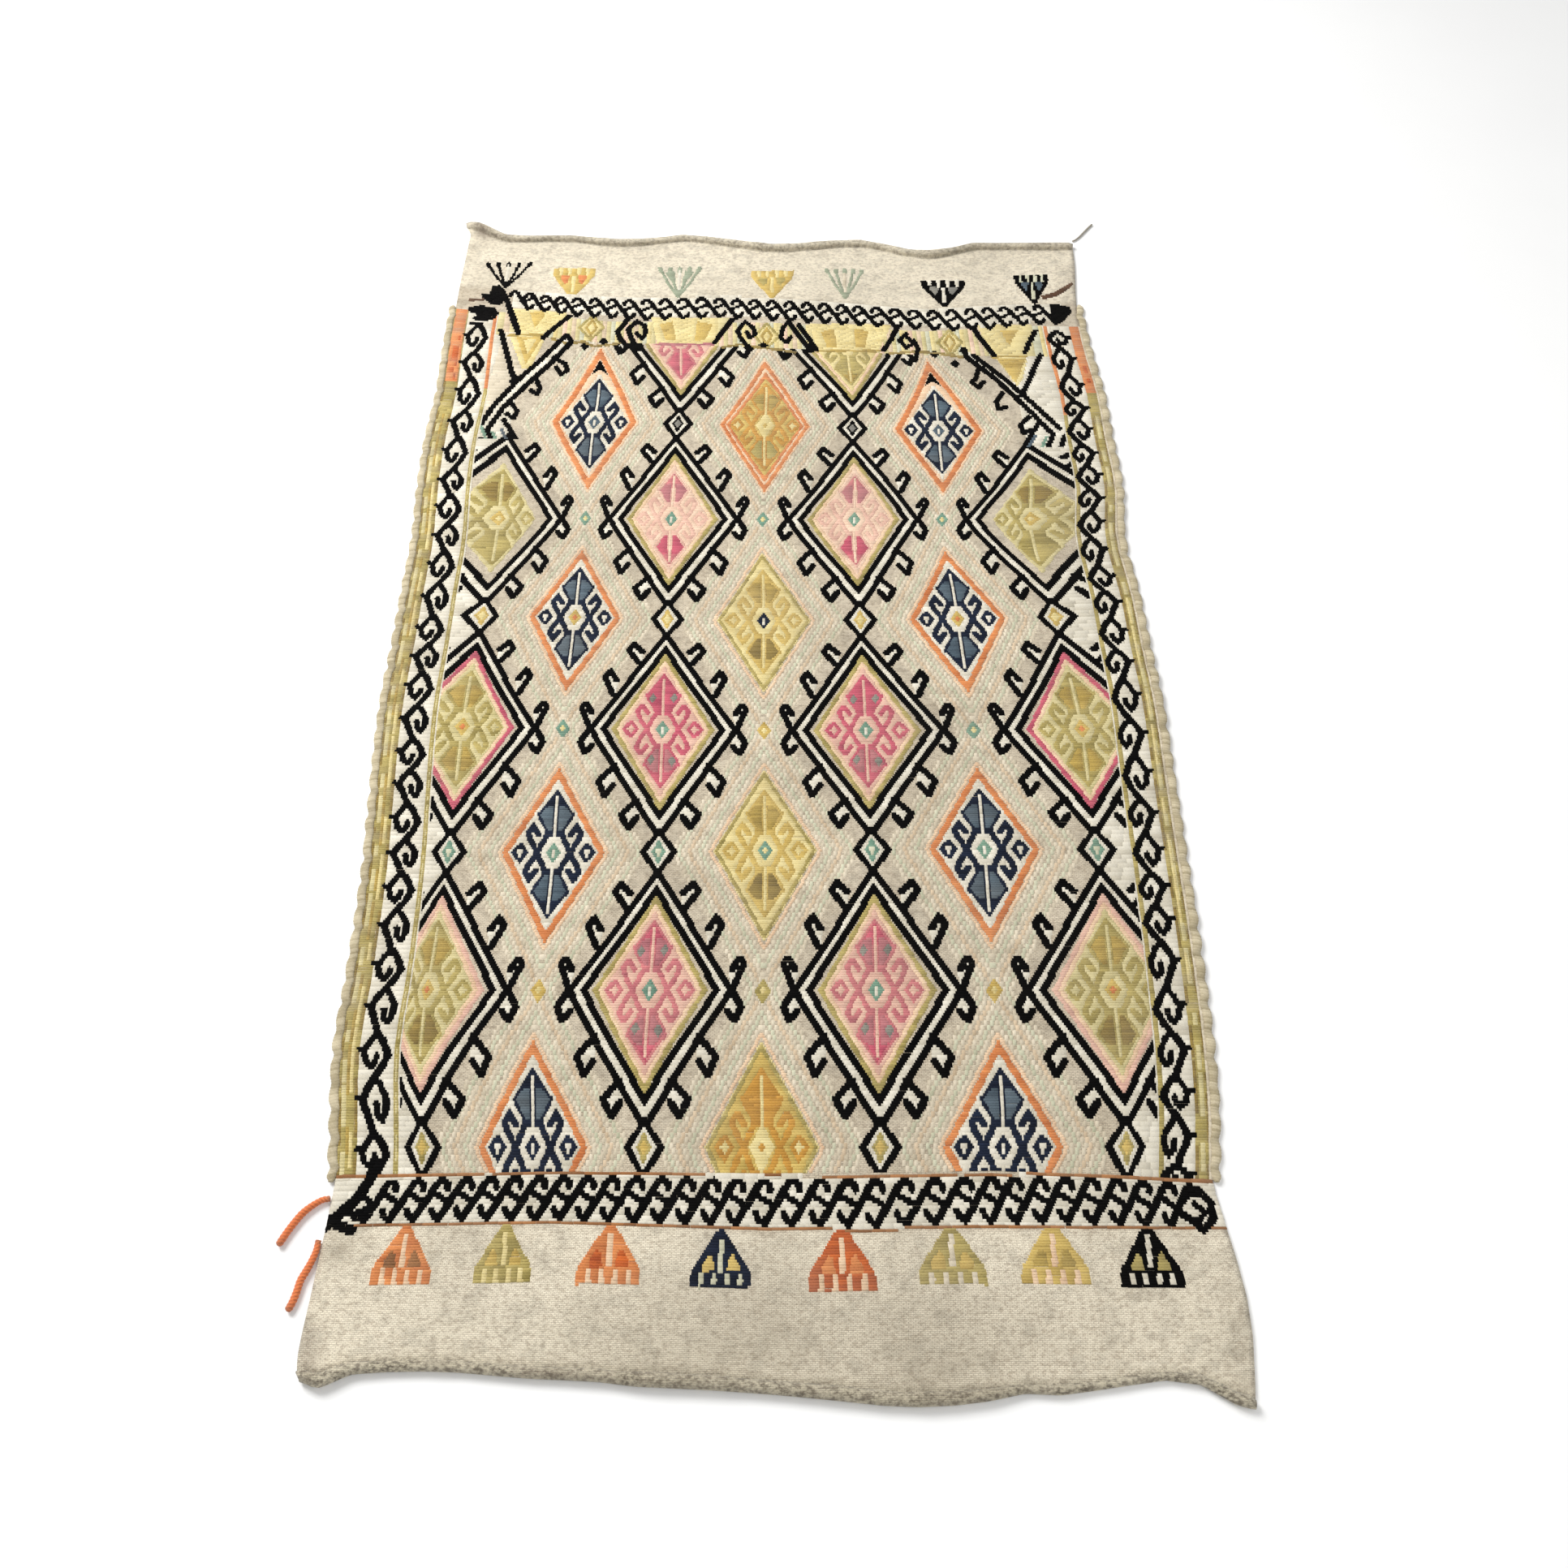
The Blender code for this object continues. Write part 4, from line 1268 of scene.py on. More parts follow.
@dataclass
class FlapMotifs:
    """The row of small combs on each plain end flap. The near ones open towards the viewer."""
    chart: Chart
    combs: tuple[Comb, ...] = (Comb(-347, -650, 28, -57, Dye.ORANGE, Dye.BROWN, Dye.PEACH),
        Comb(-251, -649, 27, -57, Dye.OLIVE, Dye.YELLOW, Dye.STRAW), Comb(-151, -649, 30, -59,
        Dye.ORANGE, Dye.RUST, Dye.PEACH), Comb(-45, -655, 29, -55, Dye.NAVY, Dye.YELLOW,
        Dye.CELADON), Comb(70, -652, 32, -62, Dye.RUST, Dye.ORANGE, Dye.PEACH), Comb(174, -651, 32,
        -58, Dye.OLIVE, Dye.YELLOW), Comb(271, -648, 32, -60, Dye.YELLOW, Dye.MUSTARD, Dye.PEACH),
        Comb(362, -651, 30, -59, Dye.BLACK, Dye.OLIVE, Dye.WHITE), Comb(-379, 682, 30, 50,
        Dye.BLACK, Dye.GROUND, Dye.WHITE, Build.SPREAD), Comb(-284, 660, 30, 62, Dye.YELLOW,
        Dye.ORANGE, Dye.STRAW), Comb(-134, 662, 28, 60, Dye.SAGE, Dye.SAGE, Dye.WHITE,
        Build.SPREAD), Comb(-2, 656, 30, 60, Dye.YELLOW, Dye.OLIVE, Dye.STRAW), Comb(101, 656, 25,
        62, Dye.SAGE, Dye.GROUND, Dye.IVORY, Build.SPREAD), Comb(240, 642, 31, 54, Dye.BLACK,
        Dye.GREY, Dye.WHITE), Comb(366, 646, 24, 62, Dye.BLACK, Dye.SLATE, Dye.CELADON))
    fingers: tuple[float, ...] = (-1.0, -0.5, 0.0, 0.5, 1.0)
    gaps: tuple[float, ...] = (-0.62, -0.21, 0.22, 0.64)
    body: Points = ((-0.08, 0.0), (0.08, 0.0), (0.92, 0.70), (1.0, 0.82), (1.0, 1.0),
                    (-1.0, 1.0), (-1.0, 0.82), (-0.92, 0.70))
    heart: Points = ((0.20, 0.74), (0.26, 0.52), (0.40, 0.44), (0.64, 0.66), (0.60, 0.74))
    gap: Points = ((-0.07, 0.76), (0.07, 0.76), (0.10, 1.0), (-0.10, 1.0))
    spine: Points = ((-0.08, 0.18), (0.08, 0.18), (0.09, 0.74), (-0.09, 0.74))
    thin_heart: Points = ((0.16, 0.36), (0.26, 0.92), (0.72, 0.86))
    thin_spine: Points = ((0, 0.24), (0, 0.88))

    def weave(self) -> None:
        """Fills both rows of combs."""
        brush = Brush(self.chart, Space.PLAN, self.chart.box)
        for comb in self.combs:
            (self.filled if comb.build is Build.FILLED else self.spread)(brush, comb)

    def filled(self, brush: Brush, comb: Comb) -> None:
        """Fills a comb with a solid body, two hearts, a spine and five fingers.

        Args:
            brush: The brush.
            comb: The comb.
        """
        brush.patch(comb.placed(self.body), comb.leaf)
        for side in (-1, 1):
            brush.patch(comb.placed(self.heart, side), comb.heart)
        for x in self.gaps:
            brush.patch(comb.placed(moved(self.gap, x, 0)), comb.spine)
        brush.patch(comb.placed(self.spine), comb.spine)

    def spread(self, brush: Brush, comb: Comb) -> None:
        """Fills a comb of thin lines that spread from its apex, with a pale spine.

        Args:
            brush: The brush.
            comb: The comb.
        """
        if comb.heart:
            for side in (-1, 1):
                brush.patch(comb.placed(self.thin_heart, side), comb.heart)
        for x in self.fingers:
            brush.stroke(comb.placed([(0, 0), (x * 0.62, 0.55), (x, 1.0)]), 3.8, comb.leaf)
            brush.stroke(comb.placed([(x * 0.95, 0.90), (x, 1.0)]), 6.0, comb.leaf)
        brush.stroke(comb.placed(self.thin_spine), 4.2, comb.spine)


# Meshes
def new_piece(name: str, points: Array, faces: Array,
              finish: bpy.types.Material) -> Piece:
    """A smooth mesh piece in the scene.

    Args:
        name: The piece's name.
        points: Its points, one row each.
        faces: Its four-sided faces, one row of point numbers each.
        finish: Its material.

    Returns:
        The new object.
    """
    mesh = bpy.data.meshes.new(name)
    mesh.vertices.add(len(points))
    mesh.vertices.foreach_set("co", np.asarray(points, np.float32).ravel())
    mesh.loops.add(faces.size)
    mesh.loops.foreach_set("vertex_index", faces.astype(np.int32).ravel())
    mesh.polygons.add(len(faces))
    mesh.polygons.foreach_set("loop_start", np.arange(0, faces.size, 4, dtype=np.int32))
    mesh.polygons.foreach_set("use_smooth", np.ones(len(faces), bool))
    mesh.update(calc_edges=True)
    mesh.validate()
    mesh.materials.append(finish)
    piece = bpy.data.objects.new(name, mesh)
    bpy.context.scene.collection.objects.link(piece)
    return piece


def lay_map(piece: Piece, name: str, places: Array) -> None:
    """Gives a piece a map of its face corners.

    Args:
        piece: The piece.
        name: The map's name.
        places: A place for each face corner, or for each point.
    """
    mesh = piece.data
    if len(places) != len(mesh.loops):
        corners = np.empty(len(mesh.loops), dtype=np.int32)
        mesh.loops.foreach_get("vertex_index", corners)
        places = places[corners]
    layer = mesh.uv_layers.new(name=name)
    layer.uv.foreach_set("vector", np.asarray(places, np.float32).ravel())


def give_values(piece: Piece, name: str, values: Array) -> None:
    """Stores one value for each point of a piece.

    Args:
        piece: The piece.
        name: What the values are called.
        values: The values.
    """
    layer = piece.data.attributes.new(name, "FLOAT", "POINT")
    layer.data.foreach_set("value", np.asarray(values, np.float32).ravel())


def quads(grid: Array) -> Array:
    """Four-sided faces between the rows and columns of a grid of point numbers."""
    corners = grid[:-1, :-1], grid[:-1, 1:], grid[1:, 1:], grid[1:, :-1]
    return np.stack(corners, axis=-1).reshape(-1, 4)


def tube_faces(rings: int, around: int) -> tuple[Array, Array]:
    """The faces of a tube and the ones that close its two ends.

    Args:
        rings: How many rings of points it has.
        around: The points in a ring.

    Returns:
        The tube's faces, and those of its ends.
    """
    index = np.arange(rings * around).reshape(rings, around)
    tube = quads(np.hstack([index, index[:, :1]]).T)
    half = around // 2
    caps = [quads(np.stack([ring[:half], ring[:half - 1:-1]]))[:, ::turn]
            for ring, turn in ((index[0], 1), (index[-1], -1))]
    return tube, np.concatenate(caps)


class Smudge(NamedTuple):
    """A darker patch: its middle in plan, its reach each way, and its strength."""
    x: float
    y: float
    across: float
    along: float
    strength: float


@dataclass
class Wear:
    """How much darker the rug is at a place: soft smudges, stains, and painted shade in the pinches
    along the sides.
    """
    smudges: tuple[Smudge, ...] = (Smudge(-0.200, 0.172, 0.060, 0.030, 0.45), Smudge(-0.020, 0.108,
        0.060, 0.040, 0.35), Smudge(0.185, -0.063, 0.050, 0.030, 0.40), Smudge(-0.100, -0.275,
        0.040, 0.020, 0.35), Smudge(-0.410, -0.670, 0.030, 0.020, 0.40), Smudge(0.430, 0.560, 0.030,
        0.080, 0.25), Smudge(-0.390, 0.700, 0.050, 0.030, 0.30), Smudge(0.395, 0.300, 0.050, 0.100,
        0.20), Smudge(0.060, -0.770, 0.270, 0.080, 0.55), Smudge(-0.413, -0.677, 0.012, 0.010,
        0.50), Smudge(-0.300, 0.780, 0.060, 0.020, 0.30), Smudge(0.300, 0.770, 0.080, 0.020, 0.25),)
    stains: tuple[Smudge, ...] = (Smudge(-0.424, 0.802, 0.009, 0.013, 0.80), Smudge(-0.400, 0.790,
        0.020, 0.010, 0.35), Smudge(0.400, 0.775, 0.030, 0.010, 0.45), Smudge(0.420, 0.700, 0.008,
        0.030, 0.20), Smudge(-0.425, -0.770, 0.012, 0.022, 0.45), Smudge(0.420, -0.835, 0.020,
        0.010, 0.45), Smudge(0.150, -0.832, 0.070, 0.008, 0.30), Smudge(-0.200, -0.790, 0.050,
        0.006, 0.25), Smudge(-0.433, 0.330, 0.006, 0.016, 0.50), Smudge(-0.433, 0.100, 0.006, 0.014,
        0.55),)
    pinched: tuple[float, float] = (0.412, 0.436)
    pinch_start: float = 0.6097
    pinch_pitch: float = 0.029
    pinch_shade: float = 0.60
    broad: Mottle = field(default_factory=lambda: Mottle(0.075, 11))
    fine: Mottle = field(default_factory=lambda: Mottle(0.016, 12))

    def at(self, x: Array, y: Array) -> Array:
        """How much darker places of the plan are, from 0 to 1, with painted shade in the side
        pinches.

        Args:
            x: Places across.
            y: Places along.

        Returns:
            The darkening at each place.
        """
        soil_and_shade = 0.10 + 0.20 * self.broad.at(x, y) + 0.12 * self.fine.at(x, y)
        # Painted shade in the pinches between the overcast lobes, along both sides.
        pinch = (1 - np.cos(2 * math.pi * (y + self.pinch_start) / self.pinch_pitch)) / 2
        side = smoothstep(*self.pinched, np.abs(x)) * (0.7 + 0.5 * self.fine.at(x, y))
        soil_and_shade = soil_and_shade + self.pinch_shade * side * pinch ** 2
        return np.clip(soil_and_shade + self.spots(self.smudges, x, y), 0, 0.85)

    def stained(self, x: Array, y: Array) -> Array:
        """The brown stains at places of the plan, from 0 to 1."""
        uneven = 0.75 + 0.45 * self.fine.at(x, y)
        return np.clip(self.spots(self.stains, x, y) * uneven, 0, 0.9)

    @staticmethod
    def spots(spots: Sequence[Smudge], x: Array, y: Array) -> Array:
        """The strength of some soft spots at places of the plan, added up."""
        return sum(spot.strength * np.exp(-((x - spot.x) / spot.across) ** 2
                                          - ((y - spot.y) / spot.along) ** 2) for spot in spots)


@dataclass
class GroundCloth:
    """The woven sheet itself: a thin closed cloth with a rope-like roll at each end."""
    form: RugForm
    wear: Wear
    columns: int = 141
    rows: int = 186
    underside: float = 0.0001
    name: str = "ground_cloth"
    upper_arc: tuple[float, ...] = (180, 158, 135, 112, 90, 66, 42, 18, -8)
    under_arc: tuple[float, ...] = (200, 225, 250)
    under_run: tuple[float, ...] = (1.0, 1.2, 1.4, 1.6, 1.8, 2.0)
    behind: Points = ((0.0006, 0.0007), (0.003, 0.0002), (0.007, 0.0))

    def roll_rows(self, radius: Array, flat: Array) -> tuple[Array, ...]:
        """The section of a rolled end, from its tip to the flat cloth.

        Args:
            radius: The roll's radius at each column.
            flat: The flat cloth's height behind it.

        Returns:
            Distances inside the tip and heights, for the upper and the lower face.
        """
        upper, lower = ([(radius + radius * math.cos(a), radius + radius * math.sin(a))
                         for a in np.radians(arc)] for arc in (self.upper_arc, self.under_arc))
        upper += [(2 * radius + step, flat - drop) for step, drop in self.behind]
        lower += [(radius * share, radius * 0) for share in self.under_run]
        lower += [(2 * radius + step, radius * 0) for step, _ in self.behind]
        return tuple(np.stack(part) for part in (*zip(*upper), *zip(*lower)))

    def build(self) -> Piece:
        """Builds the cloth.

        Returns:
            The cloth's piece, dressed.
        """
        form = self.form
        share = np.linspace(0, 1, self.columns)
        near, far = np.full(self.columns, NEAR_INSIDE), np.full(self.columns, FAR_INSIDE)
        for _ in range(6):
            near = np.interp(form.across(share, near), form.xs, form.nears)
            far = np.interp(form.across(share, far), form.xs, form.fars)
        lump = Mottle(0.020, 21)
        sections = []
        for tip, rolls, inward in ((near, form.near_rolls, 1), (far, form.far_rolls, -1)):
            x = form.across(share, tip)
            radius = np.interp(x, form.xs, rolls) / 2
            radius *= 0.93 + 0.07 * lump.at(x, tip)
            taper = 0.004 / (form.right(tip) - form.left(tip))
            radius *= 0.72 + 0.28 * smoothstep(0, taper, np.minimum(share, 1 - share))
            flat = form.lift(x, tip + inward * 0.02) + form.cloth
            inset, height, low_inset, low_height = self.roll_rows(radius, flat)
            sections.append((tip + inward * inset, height, tip + inward * low_inset, low_height))
        start, end = sections[0][0][-1], sections[1][0][-1]
        inner = np.linspace(0, 1, self.rows + 2)[1:-1, None]
        plain_y = start + (end - start) * inner
        upper_y = np.vstack([sections[0][0], plain_y, sections[1][0][::-1]])
        lower_y = np.vstack([sections[0][2], plain_y, sections[1][2][::-1]])
        shares = np.broadcast_to(share, upper_y.shape)
        upper_x, lower_x = form.across(shares, upper_y), form.across(shares, lower_y)
        chart = np.stack([form.charted(s, upper_y[:, k]) for k, s in enumerate(share)], axis=-1)
        chart_y = chart[1]
        count = len(sections[0][1])
        upper_z = form.top(upper_x, upper_y, chart_y)
        upper_z[:count], upper_z[-count:] = sections[0][1], sections[1][1][::-1]
        lower_z = form.lift(lower_x, lower_y) + self.underside
        lower_z[:count - 3], lower_z[-count + 3:] = sections[0][3][:-3], sections[1][3][:-3][::-1]
        upper = np.stack([upper_x, upper_y, upper_z], axis=-1)
        lower = np.stack([lower_x, lower_y, lower_z], axis=-1)
        faces, kinds = self.faces(*upper_y.shape)
        piece = new_piece(self.name, np.concatenate([upper, lower]).reshape(-1, 3), faces,
                          ClothFinish().material())
        self.maps(piece, faces, kinds, upper, chart)
        self.values(piece, upper_x, upper_y, chart_y, count)
        return piece

    def faces(self, rows: int, columns: int) -> tuple[Array, Array]:
        """The faces of the upper and lower cloth and the walls between them.

        Args:
            rows: Rows of points.
            columns: Columns of points.

        Returns:
            Faces, and the kind of each: 0 upper, 1 lower, 2 and 3 sides, 4 and 5 ends.
        """
        index = np.arange(rows * columns).reshape(rows, columns)
        under = index + rows * columns
        walls = ((index[:, 0], under[:, 0]), (index[::-1, -1], under[::-1, -1]),
                 (index[0, ::-1], under[0, ::-1]), (index[-1], under[-1]))
        parts = [quads(index), quads(under)[:, ::-1], *(quads(np.stack(wall)) for wall in walls)]
        kinds = np.concatenate([np.full(len(part), kind) for kind, part in enumerate(parts)])
        return np.concatenate(parts), kinds

    def maps(self, piece: Piece, faces: Array, kinds: Array, upper: Array, chart: Array) -> None:
        """Lays the weave's map and the map for baking.

        Args:
            piece: The cloth.
            faces: Its faces.
            kinds: The kind of each face.
            upper: The upper face's points, in rows.
            chart: Their chart places, those across and then those along.
        """
        chart_x, chart_y = chart
        run = np.hypot(*np.diff(upper[..., 1:], axis=0).transpose(2, 0, 1)).mean(axis=1)
        along = np.concatenate([[0.0], np.cumsum(run)])
        along = 0.01 + 0.98 * along / along[-1]
        count = chart_y.size
        u, v = np.meshgrid(np.linspace(0, 1, chart_y.shape[1]), along)
        point, below = faces % count, faces >= count
        places = np.stack([u.ravel()[point] * 0.488, v.ravel()[point]], axis=-1)
        places[kinds == 1, :, 0] += 0.512
        for kind, axis, base in ((2, 0, 0.490), (3, 0, 0.501), (4, 1, 0.001), (5, 1, 0.991)):
            wall = kinds == kind
            places[wall, :, axis] = base + 0.008 * below[wall]
        lay_map(piece, "OFBake", places.reshape(-1, 2))
        ends = np.abs(np.diff(chart_y, axis=0)).mean(axis=1) + 0.01
        walked = np.concatenate([[0.0], np.cumsum(np.maximum(ends, run / MM))])
        weave_y = chart_y.copy()
        weave_y[:12] = weave_y[12] - (walked[12] - walked[:12])[:, None]
        weave_y[-12:] = weave_y[-13] + (walked[-12:] - walked[-13])[:, None]
        weave = np.stack([chart_x.ravel(), weave_y.ravel()], axis=-1)
        lay_map(piece, "weave", np.concatenate([weave, weave]))
        piece.data.uv_layers["OFBake"].active_render = True

    def values(self, piece: Piece, x: Array, y: Array, chart_y: Array, count: int) -> None:
        """Stores where the cloth is darker with dirt and painted shade, which part is a flap, the
        painted shade of the rolls, and the stains.

        Args:
            piece: The cloth.
            x: Upper face's places across.
            y: Upper face's places along.
            chart_y: Their chart places along.
            count: Rows of points in a rolled end.
        """
        # Dirt and painted shade from the wear, weaker on the cloth than on the brocade.
        soil_and_shade = self.wear.at(x, y) * 0.55
        flap = 1 - smoothstep(-52, -47, chart_y) + 1.2 * smoothstep(1246, 1252, chart_y)
        # Painted shade on the rolled ends: darkest at the crease behind each roll, strong and
        # patchy on the near roll, which faces away from the light, and weaker on the far roll.
        roll = np.zeros(y.shape)
        roll_patchiness = 0.5 + 0.5 * Mottle(0.012, 31).at(x, y)
        ramp = np.concatenate([np.full(count - 4, 0.85), [1.0, 0.7, 0.25, 0.0]])[:, None]
        roll[:count] = ramp * (0.62 + 0.38 * roll_patchiness[:count])
        roll[-count:] = ramp[::-1] * (0.22 + 0.40 * roll_patchiness[-count:])
        stain = self.wear.stained(x, y)
        for name, upper in (("soil_and_shade", soil_and_shade), ("flap", flap), ("roll", roll), ("stain", stain)):
            give_values(piece, name, np.concatenate([upper.ravel(), upper.ravel()]))


@dataclass
class Brocade:
    """The raised wool of the pattern: one low pillow for each float of yarn."""
    chart: Chart
    wear: Wear
    height: float = 0.0009
    sunk: float = 0.0003
    longest: int = 8
    lap: float = 0.28
    jitter: float = 0.00014
    slant: float = 0.00009
    crown_inset: float = 0.0007
    foot_spread: float = 0.0005
    least_half: float = 0.0004
    seed: int = 5
    abrash: Mottle = field(default_factory=lambda: Mottle(0.011, 51))
    speck: Mottle = field(default_factory=lambda: Mottle(0.0045, 52))

    def runs(self, mask: Array, tall: int) -> Array:
        """Unbroken runs of cells in the rows of a mask.

        Args:
            mask: Which cells, one row of the mask for each row or pair of rows.
            tall: Rows of the chart in one row of the mask.

        Returns:
            First row, last row, first column and last column of each run.
        """
        padded = np.pad(mask.astype(np.int8), ((0, 0), (1, 1)))
        change = np.diff(padded, axis=1)
        rows, starts = np.nonzero(change == 1)
        ends = np.nonzero(change == -1)[1]
        pieces = []
        for row, start, end in zip(rows.tolist(), starts.tolist(), ends.tolist()):
            length = end - start
            if length <= self.longest + 2:
                pieces.append((row * tall, row * tall + tall, start, end))
                continue
            cut = start + 3 + (row * 3) % self.longest
            while start < end:
                stop = end if end - cut < 3 else min(cut, end)
                pieces.append((row * tall, row * tall + tall, start, stop))
                start, cut = stop, stop + self.longest
        return np.array(pieces, dtype=np.int32).reshape(-1, 4)

    def floats(self, dye: Dye) -> Array:
        """The floats of one dye.

        Args:
            dye: The dye.

        Returns:
            First row, last row, first column and last column of each float.
        """
        mask = self.chart.dyes == dye
        if dye not in PAIRED:
            return self.runs(mask, 1)
        both = mask[0::2] & mask[1::2]
        single = mask & ~np.repeat(both, 2, axis=0)
        return np.concatenate([self.runs(both, 2), self.runs(single, 1)])

    def build(self, dye: Dye) -> Piece | None:
        """Builds the floats of one dye as one piece.

        Args:
            dye: The dye.

        Returns:
            The piece, or None where the dye isn't used.
        """
        floats = self.floats(dye)
        count = len(floats)
        if count == 0:
            return None
        draws = np.random.default_rng(self.seed + int(dye))
        r0, r1, c0, c1 = floats.T
        chart = self.chart
        grid = np.stack([chart.corner_x, chart.corner_y, chart.corner_z], axis=-1)
        base = np.stack([grid[rows, columns] for rows, columns in
                         ((r0, c0), (r0, c1), (r1, c1), (r1, c0))], axis=1)
        middle = base.mean(axis=1, keepdims=True)
        base[:, :, :2] += draws.normal(0, self.jitter, (count, 1, 2))
        along = base - middle
        width = np.linalg.norm(base[:, 1] - base[:, 0], axis=-1)[:, None]
        half = width / 2 + self.least_half
        crown = base.copy()
        crown[:, :, 0] = middle[:, :, 0] + along[:, :, 0] * (1 - self.crown_inset / half)
        crown[:, :, 1] = middle[:, :, 1] + along[:, :, 1] * draws.uniform(0.70, 0.80, (count, 1))
        base[:, :, 0] += along[:, :, 0] * self.foot_spread / half
        base[:, :, 1] += along[:, :, 1] * self.lap
        rise = self.height * draws.uniform(0.8, 1.2, (count, 1))
        crown[:, :, 2] += rise + draws.normal(0, self.slant, (count, 1)) * [[-1, 1, 1, -1]]
        base[:, :, 2] -= self.sunk
        points = np.concatenate([base, crown], axis=1).reshape(-1, 3)
        pattern = np.array([[0, 1, 5, 4], [1, 2, 6, 5], [2, 3, 7, 6], [3, 0, 4, 7],
                            [4, 5, 6, 7]])
        faces = (pattern[None] + 8 * np.arange(count)[:, None, None]).reshape(-1, 4)
        finish = wool_finish(dye).material()
        piece = new_piece("brocade_" + dye.name.lower(), points, faces, finish)
        low, high = points[:, :2].min(axis=0), points[:, :2].max(axis=0)
        lay_map(piece, "OFBake", 0.01 + 0.98 * (points[:, :2] - low) / (high - low))
        x, y = middle[:, 0, 0], middle[:, 0, 1]
        tint = 0.5 + 0.30 * self.abrash.at(x, y) + 0.22 * self.speck.at(x, y)
        tint = np.clip(tint + draws.uniform(-0.22, 0.22, count), 0, 1)
        # Dirt, and painted shade in the pinches along the sides, from the wear.
        soil_and_shade = self.wear.at(x, y)
        give_values(piece, "tint", np.repeat(tint, 8))
        give_values(piece, "soil_and_shade", np.repeat(soil_and_shade, 8))
        return piece


@dataclass
class OvercastEdge:
    """A side's binding: plump yarn wrapped over the edge, pulled in between its lobes."""
    form: RugForm
    side: int
    stitch: float = 0.0032
    lobe: float = 0.029
    around: int = 12
    overlap: float = 0.0014
    pull: float = 0.0024
    slant: float = 0.0011
    lift: float = 0.0003
    taper: float = 0.006
    knot_pitch: float = 0.012
    map_strips: int = 12

    def build(self) -> Piece:
        """Builds the binding and dresses it.

        Returns:
            The binding's piece.
        """
        word, outward = ("right", 1) if self.side else ("left", -1)
        node = f"{word}_overcast_edge"
        solid = bpy.data.objects[node]
        low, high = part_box(node)
        y = np.arange(low.y + 0.0006, high.y - 0.0005, self.stitch / 3)
        knots = np.arange(low.y + 0.001, high.y, self.knot_pitch)
        cuts = [sliced(solid, 1, k) for k in knots]
        left, right, floor, top = (np.interp(y, knots, line) for axis in (0, 2)
                                   for line in extents(cuts, axis))
        if self.side:
            left = left - self.overlap
        else:
            right = right + self.overlap
        angle = np.linspace(0, 2 * math.pi, self.around, endpoint=False)
        away = Mottle(0.011, 40 + self.side).at(y, y * 0.3)
        slanted = y[:, None] + self.slant * np.cos(angle) * outward
        phase = slanted / self.stitch + 0.25 * away[:, None]
        bulge = np.abs(np.cos(math.pi * phase))
        valley = (1 - np.cos(2 * math.pi * (y - low.y) / self.lobe)) / 2
        swell = (0.90 + 0.11 * bulge) * ((1 - 0.07 * valley) * (1 + 0.05 * away))[:, None]
        pull = self.pull * valley ** 2 * (0.7 + 0.6 * away) * -outward
        taper = np.clip(np.minimum(y - low.y, high.y - y) / self.taper, 0.25, 1) ** 0.5
        middle_x, half_x = (left + right) / 2 + pull, (right - left) / 2 * taper
        middle_z, half_z = (top + floor) / 2 + self.lift, (top - floor) / 2 * taper
        x = middle_x[:, None] + half_x[:, None] * swell * np.cos(angle)
        z = middle_z[:, None] + half_z[:, None] * swell * np.sin(angle)
        points = np.stack([x, np.broadcast_to(y[:, None], x.shape), z], axis=-1).reshape(-1, 3)
        tube, caps = tube_faces(len(y), self.around)
        # Its dark olive dirt tone is painted shade between the lobes and the stitches.
        finish = YarnFinish(f"{word}_overcast", (228, 215, 184), (154, 140, 106), ply=700.0,
                            relief=0.0006, soil_and_shade_tone=(88, 77, 50))
        piece = new_piece(f"{word}_overcast_yarn", points, np.concatenate([tube, caps]),
                          finish.material())
        draws = np.random.default_rng(60 + self.side)
        stitch_tint = draws.uniform(0.1, 0.9, int(np.ceil(phase.max() - phase.min())) + 3)
        # Painted shade: darker in the valleys between lobes and between the wrapped stitches, over
        # an even darkening.
        soil_and_shade = (0.28 + 0.65 * valley ** 2 * (0.6 + 0.4 * away))[:, None] + 0.45 * (1 - bulge)
        give_values(piece, "tint", stitch_tint[np.floor(phase - phase.min()).astype(int)])
        give_values(piece, "soil_and_shade", np.clip(soil_and_shade, 0, 1))
        u, v = np.meshgrid(np.arange(self.around) / self.around, (y - y[0]) / (y[-1] - y[0]))
        self.map(piece, u.ravel()[tube], v.ravel()[tube], len(caps))
        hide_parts(node)
        return piece

    def map(self, piece: Piece, turn: Array, run: Array, caps: int) -> None:
        """Lays the tube's map out flat, in strips so that it fills the square.

        Args:
            piece: The binding.
            turn: The share of a turn at each corner of the tube's faces.
            run: The share of the length at each corner.
            caps: How many faces close its ends.
        """
        strips = self.map_strips
        strip = np.minimum((run.min(axis=1) * strips).astype(int), strips - 1)[:, None]
        turn = np.where((turn < 0.01) & (turn.max(axis=1, keepdims=True) > 0.5), 1.0, turn)
        tube = np.stack([(strip + 0.04 + 0.90 * turn) / strips,
                         0.02 + 0.93 * (run * strips - strip)], axis=-1)
        square = np.array([[0, 0], [1, 0], [1, 1], [0, 1]])
        ends = np.stack([[0.01 + k * 0.02, 0.985] + 0.012 * square for k in range(caps)])
        lay_map(piece, "OFBake", np.concatenate([tube, ends]).reshape(-1, 2))


